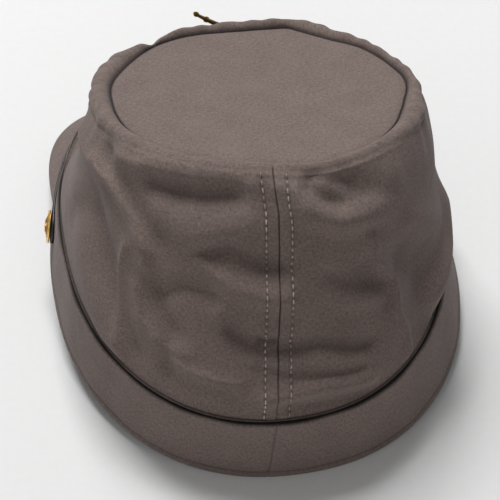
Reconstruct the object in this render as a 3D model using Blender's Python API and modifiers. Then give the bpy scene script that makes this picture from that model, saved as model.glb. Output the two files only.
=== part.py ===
"""Kepi: a soft cloth cap with a flat, forward-sloping top, a cloth-covered peak and a chin strap.

The cap is shaped upright, with the lower edge of the band in a level plane, the peak to -Y, the
back seam of the crown to +Y and the wearer's left to +X.  An empty then leans it back until it
stands by itself on the front edge of the peak and the back edge of the band.  Metres throughout.

Angles round the cap start at the back seam (0) and run by the wearer's left (90) to the front (180).
"""
import math
from collections import namedtuple

import bmesh
import bpy
from mathutils import Matrix, Vector
from mathutils.bvhtree import BVHTree

MM = 0.001

# Fits between neighbouring pieces
SEAM_GAP = 0.3 * MM
STRAP_GAP = 0.3 * MM
PEAK_GAP = 0.4 * MM
PIN_GAP = 0.4 * MM

# Points nearer than this are one point
WELD = 0.01 * MM

# Small steps along a surface, for finding its directions
SMALL_TURN = math.radians(0.1)
SMALL_RISE = 1.0 * MM

# Stations shared by the band, the crown, the strap and the peak, so that their gaps stay even
STATIONS = 64
STEP_DEG = 360.0 / STATIONS

# Band: a cloth ring between two ovals.  An egg is the share by which the back is wider than the middle.
OVAL_POWER = 2.19
BAND_HEIGHT = 36.0 * MM
BAND_THICK = 2.0 * MM
BAND_EDGE_ROUND = 0.6 * MM
BAND_LOW_HALF_LENGTH = 102.8 * MM
BAND_LOW_HALF_WIDTH = 85.9 * MM
BAND_LOW_EGG = 0.01
BAND_TOP_HALF_LENGTH = 97.3 * MM
BAND_TOP_HALF_WIDTH = 78.5 * MM
BAND_TOP_TO_LEFT = 3.5 * MM
BAND_TOP_TO_BACK = 3.6 * MM
BAND_TOP_EGG = -0.01
Oval = namedtuple("Oval", "half_length half_width x y egg")
BAND_LOW = Oval(BAND_LOW_HALF_LENGTH, BAND_LOW_HALF_WIDTH, 0.0, 0.0, BAND_LOW_EGG)
BAND_TOP = Oval(BAND_TOP_HALF_LENGTH, BAND_TOP_HALF_WIDTH, BAND_TOP_TO_LEFT, BAND_TOP_TO_BACK, BAND_TOP_EGG)

# Crown tip: a flat round piece of cloth, sloping down to the front
TIP_RADIUS = 59.8 * MM
TIP_THICK = 1.6 * MM
TIP_TO_RIGHT = 2.7 * MM
TIP_TO_FRONT = 20.6 * MM
TIP_HEIGHT = 91.0 * MM
TIP_CENTRE = Vector((-TIP_TO_RIGHT, -TIP_TO_FRONT, TIP_HEIGHT))
TIP_SLOPE_DEG = 21.8
TIP_ROLL_DEG = 2.2
TIP_EDGE_ROUND = 0.4 * MM
TIP_EDGE_STEPS = 2
TIP_SIDES = 80

# Crown side: the cloth wall between the band and the tip, rolled over the tip's edge
WALL_THICK = 1.5 * MM
TUCK_DEPTH = 6.0 * MM
WALL_LIFT = 0.5 * MM
ROLL_OUT = 5.0 * MM
ROLL_FULLER_LEFT = 2.2 * MM
ROLL_DROP = 3.0 * MM
FOLD_DEPTH = 4.0 * MM
FOLD_REACH = 10.0 * MM
PUCKER_DEPTH = 1.1 * MM
WALL_SWELL = 3.0 * MM

# Shares of the wall's height: folds are full above the first, soften from the second up to the roll,
# where this share of them is left, and the gathers begin at the last
FOLDS_FULL = 0.05
FOLDS_SOFTEN = 0.94
FOLDS_LEFT = 0.4
GATHERS_BEGIN = 0.75

# Peak: a stiff cloth-covered shade round the front of the band
PEAK_HALF_DEG = 11.6 * STEP_DEG
PEAK_THICK = 3.0 * MM
PEAK_ROOT_HEIGHT = 3.0 * MM
PEAK_HALF_WIDTH = 80.4 * MM
PEAK_REACH = 124.0 * MM
PEAK_CORNER_Y = -43.0 * MM
PEAK_POWER = 3.5
PEAK_FALL = 0.31
PEAK_BOW = 2.0 * MM
PEAK_ROWS = 7

# Chin strap: plain leather, lying on the band above the peak
STRAP_WIDTH = 14.0 * MM
STRAP_THICK = 1.1 * MM
STRAP_SIDE_HEIGHT = 17.5 * MM
STRAP_FRONT_HEIGHT = 14.0 * MM
STRAP_TAIL = 6.4 * MM
STRAP_BOW = 1.6 * MM
STRAP_TAIL_STEPS = 4
STRAP_TAIL_BLUNT = 0.16 * STRAP_WIDTH
STRAP_CLEAR_TURN = 0.4 * math.radians(STEP_DEG)

# Side buttons: a domed shell with a plain shank through the strap
BUTTON_ANGLE_DEG = 102.0
BUTTON_RADIUS = 7.1 * MM
BUTTON_HEIGHT = 2.3 * MM
SHANK_RADIUS = 1.6 * MM
SHANK_HOLE_CLEARANCE = 0.4 * MM
SHANK_HOLE_SIDES = 16
SHANK_HOLE_DEPTH = 4.0 * STRAP_THICK
BUTTON_STEPS = 22

# Badge: two sheathed sabres crossed, cast in one piece, with a pin behind.  Its middle is at a share of
# the front wall's height, stands off the wall, and leans back less than the wall does.
BADGE_WALL_SHARE = 0.545
BADGE_STAND = 6.6 * MM
BADGE_TO_RIGHT = 2.7 * MM
BADGE_UPRIGHT_DEG = 8.0
BADGE_TWIST_DEG = 18.0
SABRE_LENGTH = 45.0 * MM
SABRE_ANGLE_DEG = 27.0
SABRE_SAG = 2.6 * MM
SABRE_RADIUS = 1.15 * MM
SABRE_OVERLAP = 1.1 * MM
CROSSING_RISE = 0.8 * SABRE_SAG
GUARD_RADIUS = 0.7 * MM
GUARD_BOW = 3.6 * MM
GUARD_LEAN_DEG = 36.0
GUARD_START = 0.755
GUARD_END = 0.975
GUARD_STEPS = 6
BADGE_PIN_RADIUS = 1.5 * MM
BADGE_BEND_RADIUS = 160.0 * MM
PIN_RAYS = 8

# Roundness of the badge's rods and of its pin
ROD_RESOLUTION = 1
PIN_RESOLUTION = 2

# Standing: how far the soft lower edges press flat on the ground
PRESS = 0.8 * MM

# Section of the crown wall: height is the share of the wall from band to roll, swell the share of
# WALL_SWELL by which it stands outside the straight line between the two.
WallRow = namedtuple("WallRow", "height swell")
WALL_ROWS = (
    WallRow(0.03, 0.20), WallRow(0.08, 0.55), WallRow(0.14, 0.70), WallRow(0.20, 0.75),
    WallRow(0.27, 0.75), WallRow(0.34, 0.70), WallRow(0.41, 0.70), WallRow(0.48, 0.75),
    WallRow(0.55, 0.80), WallRow(0.62, 0.90), WallRow(0.69, 1.00), WallRow(0.76, 1.05),
    WallRow(0.83, 1.00), WallRow(0.89, 0.85), WallRow(0.95, 0.60), WallRow(1.00, 0.30),
)

# Section of the roll: out is the share of ROLL_OUT beyond the tip's edge, rise the share of
# ROLL_DROP above the tip's face, pucker the share of the gathers that the row takes.
RollRow = namedtuple("RollRow", "out rise pucker")
ROLL_ROWS = (
    RollRow(1.10, -0.35, 1.0), RollRow(1.02, 0.25, 1.0), RollRow(0.78, 0.68, 0.9),
    RollRow(0.46, 0.74, 0.5), RollRow(0.20, 0.42, 0.2), RollRow(0.00, 0.00, 0.0),
    RollRow(0.00, -0.50, 0.0),
)

# Folds of the wall.  Each follows a path of places, given by the angle round the cap in degrees and
# the share of the wall's height; reach is the share of FOLD_REACH to each side of it, depth the
# share of FOLD_DEPTH, positive for a ridge and negative for a hollow.
Fold = namedtuple("Fold", "path reach depth")
FOLDS = (
    Fold(((54, 0.90), (35, 0.94), (14, 0.97)), 0.60, -0.81),
    Fold(((53, 0.84), (24, 0.84), (13, 0.85)), 0.85, 0.55),
    Fold(((-5, 0.97), (-8, 0.95)), 0.60, -0.65),
    Fold(((-12, 0.92), (-16, 0.91)), 0.60, -0.30),
    Fold(((-15, 0.97), (-38, 0.87)), 0.60, -0.81),
    Fold(((-3, 0.90), (-20, 0.81), (-34, 0.77)), 0.75, 0.60),
    Fold(((-50, 0.95), (-38, 0.98)), 0.60, -0.41),
    Fold(((31, 0.69), (18, 0.71), (6, 0.63), (-2, 0.59)), 0.60, -0.52),
    Fold(((20, 0.56), (-2, 0.55)), 0.60, 0.35),
    Fold(((-8, 0.57), (-34, 0.44)), 0.60, -0.35),
    Fold(((17, 0.36), (-7, 0.32), (-26, 0.20)), 0.60, -0.95),
    Fold(((12, 0.27), (-27, 0.14)), 0.60, 0.45),
    Fold(((2, 0.20), (-25, 0.125)), 0.60, -0.25),
    Fold(((-2, 0.15), (-25, 0.09)), 0.60, 0.27),
    Fold(((0, 0.08), (-19, 0.03)), 0.60, -0.27),
    Fold(((94, 0.84), (64, 0.82), (48, 0.62)), 0.60, 0.43),
    Fold(((59, 0.56), (58, 0.34), (56, 0.09)), 0.60, 0.48),
    Fold(((85, 0.46), (59, 0.09)), 1.00, 0.45),
    Fold(((74, 0.54), (65, 0.39)), 0.60, -0.46),
    Fold(((40, 0.46), (22, 0.55)), 0.80, -0.60),
    Fold(((15, 0.51), (18, 0.38)), 0.60, -0.23),
    Fold(((32, 0.22), (35, 0.11)), 0.60, -0.23),
    Fold(((27, 0.18), (14, 0.15)), 0.60, 0.23),
    Fold(((-27, 0.66), (-36, 0.51), (-37, 0.42), (-44, 0.25), (-54, 0.03)), 0.60, 0.55),
    Fold(((-76, 0.30), (-72, 0.12), (-58, 0.04), (-32, 0.03)), 0.90, 1.00),
    Fold(((-44, 0.64), (-64, 0.44)), 0.60, 0.35),
    Fold(((128, 0.15), (118, 0.40), (106, 0.75)), 1.30, -1.10),
    Fold(((136, 0.30), (144, 0.80)), 0.60, 0.40),
    Fold(((152, 0.75), (166, 0.30)), 0.60, -0.45),
    Fold(((176, 0.62), (186, 0.55)), 0.70, -0.30),
    Fold(((-116, 0.90), (-108, 0.35)), 0.70, -0.55),
    Fold(((-134, 0.25), (-146, 0.75)), 0.60, 0.45),
    Fold(((-160, 0.70), (-168, 0.30)), 0.60, -0.40),
)

# Gathers of the roll: how many run round the edge, the share of PUCKER_DEPTH and where they start
Gather = namedtuple("Gather", "count depth start_deg")
GATHERS = (Gather(7, 0.45, 20), Gather(13, 0.35, 75), Gather(22, 0.25, 140))

# Outline of one sheathed sabre from the tip of the sheath to the pommel: along is the share of
# its length, thick the share of SABRE_RADIUS
SabreRing = namedtuple("SabreRing", "along thick")
SABRE_RINGS = (
    SabreRing(0.00, 0.55), SabreRing(0.02, 0.95), SabreRing(0.05, 1.00), SabreRing(0.08, 0.62),
    SabreRing(0.15, 0.70), SabreRing(0.19, 0.72), SabreRing(0.205, 1.15), SabreRing(0.235, 1.15),
    SabreRing(0.25, 0.80), SabreRing(0.36, 0.90), SabreRing(0.50, 1.00), SabreRing(0.62, 1.02),
    SabreRing(0.72, 1.05), SabreRing(0.735, 1.40), SabreRing(0.77, 1.40), SabreRing(0.785, 0.85),
    SabreRing(0.87, 1.05), SabreRing(0.95, 0.85), SabreRing(0.965, 1.30), SabreRing(1.00, 0.90),
)

# Section of a side button from the middle of its face to the end of its shank: out is the share
# of BUTTON_RADIUS, rise the share of BUTTON_HEIGHT
ButtonRow = namedtuple("ButtonRow", "out rise")
BUTTON_FACE = (
    ButtonRow(0.00, 1.00), ButtonRow(0.28, 0.97), ButtonRow(0.52, 0.86), ButtonRow(0.72, 0.66),
    ButtonRow(0.84, 0.42), ButtonRow(0.88, 0.30), ButtonRow(0.96, 0.34), ButtonRow(1.00, 0.20),
    ButtonRow(0.98, 0.00),
)


# Scene set-up

for stray in list(bpy.data.objects):
    bpy.data.objects.remove(stray, do_unlink=True)

cap_parts = bpy.data.collections.new("kepi")
cutters = bpy.data.collections.new("kepi_cutters")
bpy.context.scene.collection.children.link(cap_parts)
bpy.context.scene.collection.children.link(cutters)

cap_root = bpy.data.objects.new("kepi_root", None)
cap_parts.objects.link(cap_root)


def surface(name, colour, roughness, metallic=0.0):
    """A plain material with one colour, given as linear red, green and blue."""
    made = bpy.data.materials.new(name)
    made.use_nodes = True
    shader = made.node_tree.nodes["Principled BSDF"]
    shader.inputs["Base Color"].default_value = (*colour, 1.0)
    shader.inputs["Roughness"].default_value = roughness
    shader.inputs["Metallic"].default_value = metallic
    made.diffuse_color = (*colour, 1.0)
    return made


CLOTH_GREY = (0.150, 0.122, 0.108)
CLOTH_ROUGHNESS = 0.95
LEATHER_BLACK = (0.012, 0.011, 0.010)
LEATHER_ROUGHNESS = 0.45
BRASS_BRIGHT = (0.62, 0.42, 0.13)
BRASS_DULL = (0.22, 0.15, 0.06)
BRASS_ROUGHNESS = 0.35


def add_piece(name, mesh, material, collection=cap_parts):
    """Puts a mesh into the scene as one piece of the cap."""
    piece = bpy.data.objects.new(name, mesh)
    mesh.materials.append(material)
    collection.objects.link(piece)
    piece.parent = cap_root
    return piece


def mesh_from(name, points, faces):
    """A mesh of the given corners and faces, with the faces turned outwards."""
    made = bpy.data.meshes.new(name)
    made.from_pydata([tuple(point) for point in points], [], faces)
    work = bmesh.new()
    work.from_mesh(made)
    bmesh.ops.recalc_face_normals(work, faces=work.faces)
    work.to_mesh(made)
    work.free()
    made.update()
    return made


def evaluated_mesh(item):
    """A new mesh of the object with its modifiers and its curve bevel worked out."""
    depsgraph = bpy.context.evaluated_depsgraph_get()
    return bpy.data.meshes.new_from_object(item.evaluated_get(depsgraph))


def add_cutter(name, mesh, place):
    """Puts a mesh that only shapes other pieces beside the cap, hidden from renders."""
    cutter = bpy.data.objects.new(name, mesh)
    cutters.objects.link(cutter)
    cutter.parent = cap_root
    cutter.matrix_local = place
    cutter.hide_render = True
    cutter.display_type = "WIRE"
    return cutter


def add_boolean(piece, name, operation, cutter):
    """Cuts from the piece, or joins to it, the cutter's shape."""
    boolean = piece.modifiers.new(name, "BOOLEAN")
    boolean.operation = operation
    boolean.solver = "EXACT"
    boolean.object = cutter


# Ovals and surfaces

def rounded_power(value):
    """The share of an oval's half size at a sine or cosine, for an oval squarer than an ellipse."""
    return math.copysign(abs(value) ** (2.0 / OVAL_POWER), value)


def oval_point(oval, angle, height):
    """A point of an oval at the angle from the back, at the given height."""
    along = rounded_power(math.cos(angle))
    across = rounded_power(math.sin(angle)) * (1.0 + oval.egg * along)
    return Vector((oval.x + oval.half_width * across, oval.y + oval.half_length * along, height))


def band_point(angle, height, outward=0.0):
    """A point of the band's outer face, or outside it by the given amount."""
    share = height / BAND_HEIGHT
    point = oval_point(BAND_LOW, angle, height).lerp(oval_point(BAND_TOP, angle, height), share)
    if outward:
        point += band_normal(angle, height) * outward
    return point


def band_normal(angle, height):
    """The level direction straight out of the band's face."""
    along = band_point(angle + SMALL_TURN, height) - band_point(angle - SMALL_TURN, height)
    return Vector((along.y, -along.x, 0.0)).normalized() * -1.0


TIP_AXES = Matrix.Rotation(math.radians(TIP_ROLL_DEG), 3, "Y").transposed() @ \
    Matrix.Rotation(math.radians(TIP_SLOPE_DEG), 3, "X")


def tip_point(angle, radius, rise):
    """A point by the tip, at the angle from the back, the radius and the rise above its face."""
    return TIP_CENTRE + TIP_AXES @ Vector((radius * math.sin(angle), radius * math.cos(angle), rise))


def wall_base(angle):
    """Where the crown wall comes out of the band."""
    return band_point(angle, BAND_HEIGHT, -BAND_THICK - SEAM_GAP) + Vector((0.0, 0.0, WALL_LIFT))


def roll_out(angle):
    """How far the roll stands outside the tip's edge."""
    return ROLL_OUT + ROLL_FULLER_LEFT * math.sin(angle)


def wall_top(angle):
    """Where the crown wall turns over into the roll."""
    return tip_point(angle, TIP_RADIUS + roll_out(angle), -ROLL_DROP)


def wall_straight(angle, height):
    """The crown wall without swell or folds."""
    return wall_base(angle).lerp(wall_top(angle), height)


def wall_out(angle, height):
    """The direction straight out of the plain crown wall."""
    round_way = wall_straight(angle + SMALL_TURN, height) - wall_straight(angle - SMALL_TURN, height)
    return (wall_top(angle) - wall_base(angle)).cross(round_way).normalized()


def place_on_wall(degrees, height, about):
    """The place of a fold's end on the spread-out wall, in metres from the place 'about'."""
    turn = math.remainder(math.radians(degrees) - about[0], math.tau)
    length = (wall_top(about[0]) - wall_base(about[0])).length
    radius = (TIP_RADIUS + BAND_TOP.half_width) / 2.0
    return Vector((turn * radius, (height - about[1]) * length))


def distance_to(start, end):
    """The distance from the origin to the straight line between two places."""
    way = end - start
    share = min(1.0, max(0.0, -start.dot(way) / way.length_squared))
    return (start + way * share).length


def fold_height(angle, height):
    """The height of all folds together at one place of the wall."""
    total = 0.0
    for fold in FOLDS:
        places = [place_on_wall(degrees, share, (angle, height)) for degrees, share in fold.path]
        away = min(distance_to(start, end) for start, end in zip(places, places[1:]))
        away /= fold.reach * FOLD_REACH
        total += fold.depth * FOLD_DEPTH * math.exp(-away * away)
    return total


def gather_depth(angle):
    """The height of the gathers along the edge of the roll."""
    total = 0.0
    for gather in GATHERS:
        total += gather.depth * math.sin(gather.count * angle + math.radians(gather.start_deg))
    return total * PUCKER_DEPTH


def fade(height, start, end):
    """Rises smoothly from 0 at 'start' to 1 at 'end'."""
    share = min(1.0, max(0.0, (height - start) / (end - start)))
    return share * share * (3.0 - 2.0 * share)


def wall_point(angle, row):
    """A point of the finished crown wall."""
    hold = fade(row.height, 0.0, FOLDS_FULL)
    hold *= 1.0 - (1.0 - FOLDS_LEFT) * fade(row.height, FOLDS_SOFTEN, 1.0)
    out = row.swell * WALL_SWELL + fold_height(angle, row.height) * hold
    out += gather_depth(angle) * fade(row.height, GATHERS_BEGIN, 1.0)
    return wall_straight(angle, row.height) + wall_out(angle, row.height) * out


def roll_point(angle, row):
    """A point of the roll over the tip's edge."""
    beyond = SEAM_GAP + roll_out(angle) * row.out + gather_depth(angle) * row.pucker
    return tip_point(angle, TIP_RADIUS + beyond, ROLL_DROP * row.rise)


# Lofting

def ring_faces(stations, rows, closed_rows=False):
    """Faces between closed rings of equal station count."""
    faces = []
    for row in range(rows if closed_rows else rows - 1):
        upper = (row + 1) % rows
        for station in range(stations):
            beside = (station + 1) % stations
            faces.append((row * stations + station, row * stations + beside,
                          upper * stations + beside, upper * stations + station))
    return faces


def thicken(piece, thickness):
    """Gives an open sheet its thickness on its inner side."""
    solid = piece.modifiers.new("thickness", "SOLIDIFY")
    solid.thickness = thickness
    solid.offset = -1.0


angles = [math.radians(STEP_DEG * station) for station in range(STATIONS)]


# Band

# Section of the band, round its outer and inner faces: height above the lower edge, inset
BandRow = namedtuple("BandRow", "height inset")
BAND_ROWS = (
    BandRow(0.0, BAND_EDGE_ROUND), BandRow(BAND_EDGE_ROUND, 0.0), BandRow(BAND_HEIGHT / 2.0, 0.0),
    BandRow(BAND_HEIGHT - BAND_EDGE_ROUND, 0.0), BandRow(BAND_HEIGHT, BAND_EDGE_ROUND),
    BandRow(BAND_HEIGHT, BAND_THICK), BandRow(BAND_HEIGHT / 2.0, BAND_THICK), BandRow(0.0, BAND_THICK),
)
band_points = [band_point(angle, row.height, -row.inset) for row in BAND_ROWS for angle in angles]
band = add_piece(
    "band", mesh_from("band", band_points, ring_faces(STATIONS, len(BAND_ROWS), True)),
    surface("band_cloth", CLOTH_GREY, CLOTH_ROUGHNESS))


# Crown

wall_rows = []
for height in (BAND_HEIGHT - TUCK_DEPTH, BAND_HEIGHT):
    wall_rows.append([band_point(angle, height, -BAND_THICK - SEAM_GAP) for angle in angles])
wall_rows.append([wall_base(angle) for angle in angles])
for wall_row in WALL_ROWS:
    wall_rows.append([wall_point(angle, wall_row) for angle in angles])
for roll_row in ROLL_ROWS:
    wall_rows.append([roll_point(angle, roll_row) for angle in angles])
wall_points = [point for row in wall_rows for point in row]
crown_side = add_piece(
    "crown_side", mesh_from("crown_side", wall_points, ring_faces(STATIONS, len(wall_rows))),
    surface("crown_side_cloth", CLOTH_GREY, CLOTH_ROUGHNESS))
thicken(crown_side, WALL_THICK)

tip_mesh = bpy.data.meshes.new("crown_tip")
tip_work = bmesh.new()
bmesh.ops.create_cone(tip_work, cap_ends=True, segments=TIP_SIDES, radius1=TIP_RADIUS,
                      radius2=TIP_RADIUS, depth=TIP_THICK)
tip_work.to_mesh(tip_mesh)
tip_work.free()
crown_tip = add_piece("crown_tip", tip_mesh, surface("crown_tip_cloth", CLOTH_GREY, CLOTH_ROUGHNESS))
crown_tip.matrix_local = Matrix.Translation(tip_point(0.0, 0.0, -TIP_THICK / 2.0)) @ TIP_AXES.to_4x4()
tip_bevel = crown_tip.modifiers.new("edge", "BEVEL")
tip_bevel.width = TIP_EDGE_ROUND
tip_bevel.segments = TIP_EDGE_STEPS
tip_bevel.limit_method = "ANGLE"


# Peak

def peak_edge(angle):
    """The outer edge of the peak in plan."""
    turn = (angle - math.pi) / math.radians(PEAK_HALF_DEG) * math.pi / 2.0
    across = math.copysign(abs(math.sin(turn)) ** (2.0 / PEAK_POWER), -math.sin(turn))
    along = abs(math.cos(turn)) ** (2.0 / PEAK_POWER)
    return Vector((PEAK_HALF_WIDTH * across, PEAK_CORNER_Y - (PEAK_REACH + PEAK_CORNER_Y) * along, 0.0))


def peak_point(angle, share, below=0.0):
    """A point of the peak's upper face, from the band (0) to the outer edge (1), or below it.

    The lower face lies straight under the upper one at the band and square to it at the edge."""
    root = band_point(angle, 0.0, PEAK_GAP)
    edge = peak_edge(angle)
    way = edge - root
    level = way.length
    fall = PEAK_ROOT_HEIGHT + PEAK_FALL * (PEAK_CORNER_Y - edge.y)
    point = root + way * share
    point.z = PEAK_ROOT_HEIGHT - fall * share + PEAK_BOW * 4.0 * share * (1.0 - share)
    slant = math.atan2(fall, level)
    down = Vector((0.0, 0.0, -1.0 / math.cos(slant)))
    square = -(way.normalized() * math.sin(slant) + Vector((0.0, 0.0, math.cos(slant))))
    return point + down.lerp(square, share) * below


peak_half = math.radians(PEAK_HALF_DEG)
peak_angles = [angle for angle in angles if abs(angle - math.pi) < peak_half]
peak_angles = [math.pi - peak_half] + peak_angles + [math.pi + peak_half]
peak_shares = [row / (PEAK_ROWS - 1) for row in range(PEAK_ROWS)]
peak_points = []
for angle in peak_angles:
    peak_points.extend(peak_point(angle, share) for share in peak_shares)
    peak_points.extend(peak_point(angle, share, PEAK_THICK) for share in reversed(peak_shares))
section_size = 2 * PEAK_ROWS
peak_faces = ring_faces(section_size, len(peak_angles))
peak_faces.append(tuple(range(section_size)))
peak_faces.append(tuple(range(len(peak_points) - section_size, len(peak_points))))
peak = add_piece("peak", mesh_from("peak", peak_points, peak_faces),
                 surface("peak_cloth", CLOTH_GREY, CLOTH_ROUGHNESS))


# Chin strap

def strap_height(angle):
    """The height of the strap's middle line above the band's lower edge."""
    to_front = math.cos(angle) ** 2
    return STRAP_SIDE_HEIGHT + (STRAP_FRONT_HEIGHT - STRAP_SIDE_HEIGHT) * to_front


def strap_stand(angle):
    """How far the strap stands off the band: it bows between the buttons and the front."""
    to_front = (math.degrees(angle) - BUTTON_ANGLE_DEG) / (180.0 - BUTTON_ANGLE_DEG)
    share = to_front if to_front < 1.0 else 2.0 - to_front
    return STRAP_GAP + STRAP_BOW * math.sin(math.pi * min(1.0, max(0.0, share))) ** 2


def strap_row(angle, half_width):
    """Four corners of the strap's section: inner low, inner high, outer high, outer low."""
    middle = strap_height(angle)
    inner = strap_stand(angle)
    outer = inner + STRAP_THICK
    return [band_point(angle, middle - half_width, inner), band_point(angle, middle + half_width, inner),
            band_point(angle, middle + half_width, outer), band_point(angle, middle - half_width, outer)]


button_angle = math.radians(BUTTON_ANGLE_DEG)
strap_stations = []
for step in range(STRAP_TAIL_STEPS):
    back = (1.0 - step / STRAP_TAIL_STEPS) * STRAP_TAIL
    half = math.sqrt(max(0.0, STRAP_TAIL ** 2 - back ** 2)) * STRAP_WIDTH / 2.0 / STRAP_TAIL
    strap_stations.append((button_angle - back / BAND_LOW.half_width, max(half, STRAP_TAIL_BLUNT)))
strap_stations.append((button_angle, STRAP_WIDTH / 2.0))
first_clear = button_angle + STRAP_CLEAR_TURN
last_clear = math.tau - first_clear
middle_stations = [(angle, STRAP_WIDTH / 2.0) for angle in angles if first_clear < angle < last_clear]
mirrored = [(math.tau - angle, half) for angle, half in reversed(strap_stations)]
strap_stations = strap_stations + middle_stations + mirrored
strap_points = []
for angle, half in strap_stations:
    strap_points.extend(strap_row(angle, half))
strap_faces = ring_faces(4, len(strap_stations))
strap_faces.append((0, 1, 2, 3))
last = 4 * (len(strap_stations) - 1)
strap_faces.append((last, last + 1, last + 2, last + 3))
chin_strap = add_piece(
    "chin_strap", mesh_from("chin_strap", strap_points, strap_faces),
    surface("strap_leather", LEATHER_BLACK, LEATHER_ROUGHNESS))


# Side buttons

def seat_matrix(angle):
    """The place of a button: its face turned out of the band, over the strap's middle line."""
    height = strap_height(angle)
    upward = band_point(angle, height + SMALL_RISE) - band_point(angle, height - SMALL_RISE)
    round_way = band_point(angle + SMALL_TURN, height) - band_point(angle - SMALL_TURN, height)
    out = upward.cross(round_way).normalized()
    side = Vector((0.0, 0.0, 1.0)).cross(out).normalized()
    turned = Matrix((side, out.cross(side), out)).transposed().to_4x4()
    return Matrix.Translation(band_point(angle, height)) @ turned


def screw_mesh(name, profile, steps):
    """Turns a profile of (radius, height) points, listed from the top down, once round its axis."""
    outline = bpy.data.meshes.new(name)
    outline.from_pydata([(radius, 0.0, height) for radius, height in profile],
                        [(step, step + 1) for step in range(len(profile) - 1)], [])
    turned = bpy.data.objects.new(name, outline)
    cap_parts.objects.link(turned)
    screw = turned.modifiers.new("turn", "SCREW")
    screw.steps = steps
    screw.render_steps = steps
    screw.use_merge_vertices = True
    screw.merge_threshold = WELD
    made = evaluated_mesh(turned)
    bpy.data.objects.remove(turned, do_unlink=True)
    made.name = name
    return made


button_seat = STRAP_GAP + STRAP_THICK + SEAM_GAP
hole_radius = SHANK_RADIUS + SHANK_HOLE_CLEARANCE
button_profile = [(row.out * BUTTON_RADIUS, row.rise * BUTTON_HEIGHT) for row in BUTTON_FACE]
button_profile += [(SHANK_RADIUS, 0.0), (SHANK_RADIUS, PIN_GAP - button_seat), (0.0, PIN_GAP - button_seat)]

for side_name, side_angle in (("left", button_angle), ("right", -button_angle)):
    hole_mesh = bpy.data.meshes.new("strap_hole_" + side_name)
    hole_work = bmesh.new()
    bmesh.ops.create_cone(hole_work, cap_ends=True, segments=SHANK_HOLE_SIDES, radius1=hole_radius,
                          radius2=hole_radius, depth=SHANK_HOLE_DEPTH)
    hole_work.to_mesh(hole_mesh)
    hole_work.free()
    hole_place = seat_matrix(side_angle) @ Matrix.Translation((0.0, 0.0, STRAP_GAP + STRAP_THICK / 2.0))
    hole = add_cutter("strap_hole_" + side_name, hole_mesh, hole_place)
    add_boolean(chin_strap, "hole_" + side_name, "DIFFERENCE", hole)

    button_mesh = screw_mesh("button_" + side_name, button_profile, BUTTON_STEPS)
    button_brass = surface("button_" + side_name + "_brass", BRASS_BRIGHT, BRASS_ROUGHNESS, 1.0)
    button = add_piece("button_" + side_name, button_mesh, button_brass)
    button.matrix_local = seat_matrix(side_angle) @ Matrix.Translation((0.0, 0.0, button_seat))


# Badge

def sweep(name, path, resolution):
    """A closed rod along a path of (point, radius) pairs."""
    curve = bpy.data.curves.new(name, "CURVE")
    curve.dimensions = "3D"
    curve.bevel_depth = 1.0
    curve.bevel_resolution = resolution
    curve.use_fill_caps = True
    line = curve.splines.new("POLY")
    line.points.add(len(path) - 1)
    for knot, (point, radius) in zip(line.points, path):
        knot.co = (*point, 1.0)
        knot.radius = radius
    rod = bpy.data.objects.new(name, curve)
    cutters.objects.link(rod)
    made = evaluated_mesh(rod)
    bpy.data.objects.remove(rod, do_unlink=True)
    work = bmesh.new()
    work.from_mesh(made)
    bmesh.ops.remove_doubles(work, verts=work.verts, dist=WELD)
    bmesh.ops.recalc_face_normals(work, faces=work.faces)
    work.to_mesh(made)
    work.free()
    return made


def sabre_point(along, mirror):
    """The middle line of a sheathed sabre in the badge's plane, from the sheath's tip to the pommel."""
    reach = (0.5 - along) * SABRE_LENGTH
    sag = SABRE_SAG * (1.0 - (2.0 * along - 1.0) ** 2)
    turn = math.radians(SABRE_ANGLE_DEG)
    across = reach * math.cos(turn) + sag * math.sin(turn)
    up = reach * math.sin(turn) - sag * math.cos(turn)
    behind = across * across / (2.0 * BADGE_BEND_RADIUS)
    if mirror < 0.0:
        behind += SABRE_OVERLAP
    return Vector((across * mirror, behind, up + CROSSING_RISE))


guard_lean = math.radians(GUARD_LEAN_DEG)
badge_pieces = []
for mirror in (1.0, -1.0):
    path = [(sabre_point(ring.along, mirror), ring.thick * SABRE_RADIUS) for ring in SABRE_RINGS]
    badge_pieces.append(sweep("sabre", path, ROD_RESOLUTION))
    guard_start = sabre_point(GUARD_START, mirror)
    guard_end = sabre_point(GUARD_END, mirror)
    guard_way = Vector((mirror * math.sin(guard_lean), 0.0, -math.cos(guard_lean)))
    guard_path = []
    for step in range(GUARD_STEPS + 1):
        share = step / GUARD_STEPS
        middle = guard_start.lerp(guard_end, share) + guard_way * GUARD_BOW * math.sin(share * math.pi)
        guard_path.append((middle, GUARD_RADIUS))
    badge_pieces.append(sweep("guard", guard_path, ROD_RESOLUTION))

front_rise = wall_top(math.pi) - wall_base(math.pi)
badge_lean = math.atan2(front_rise.y, front_rise.z) - math.radians(BADGE_UPRIGHT_DEG)
badge_centre = wall_straight(math.pi, BADGE_WALL_SHARE) + wall_out(math.pi, BADGE_WALL_SHARE) * BADGE_STAND
badge_centre.x -= BADGE_TO_RIGHT
badge_frame = Matrix.Translation(badge_centre) @ Matrix.Rotation(-badge_lean, 4, "X") @ \
    Matrix.Rotation(math.radians(-BADGE_TWIST_DEG), 4, "Y")

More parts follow.
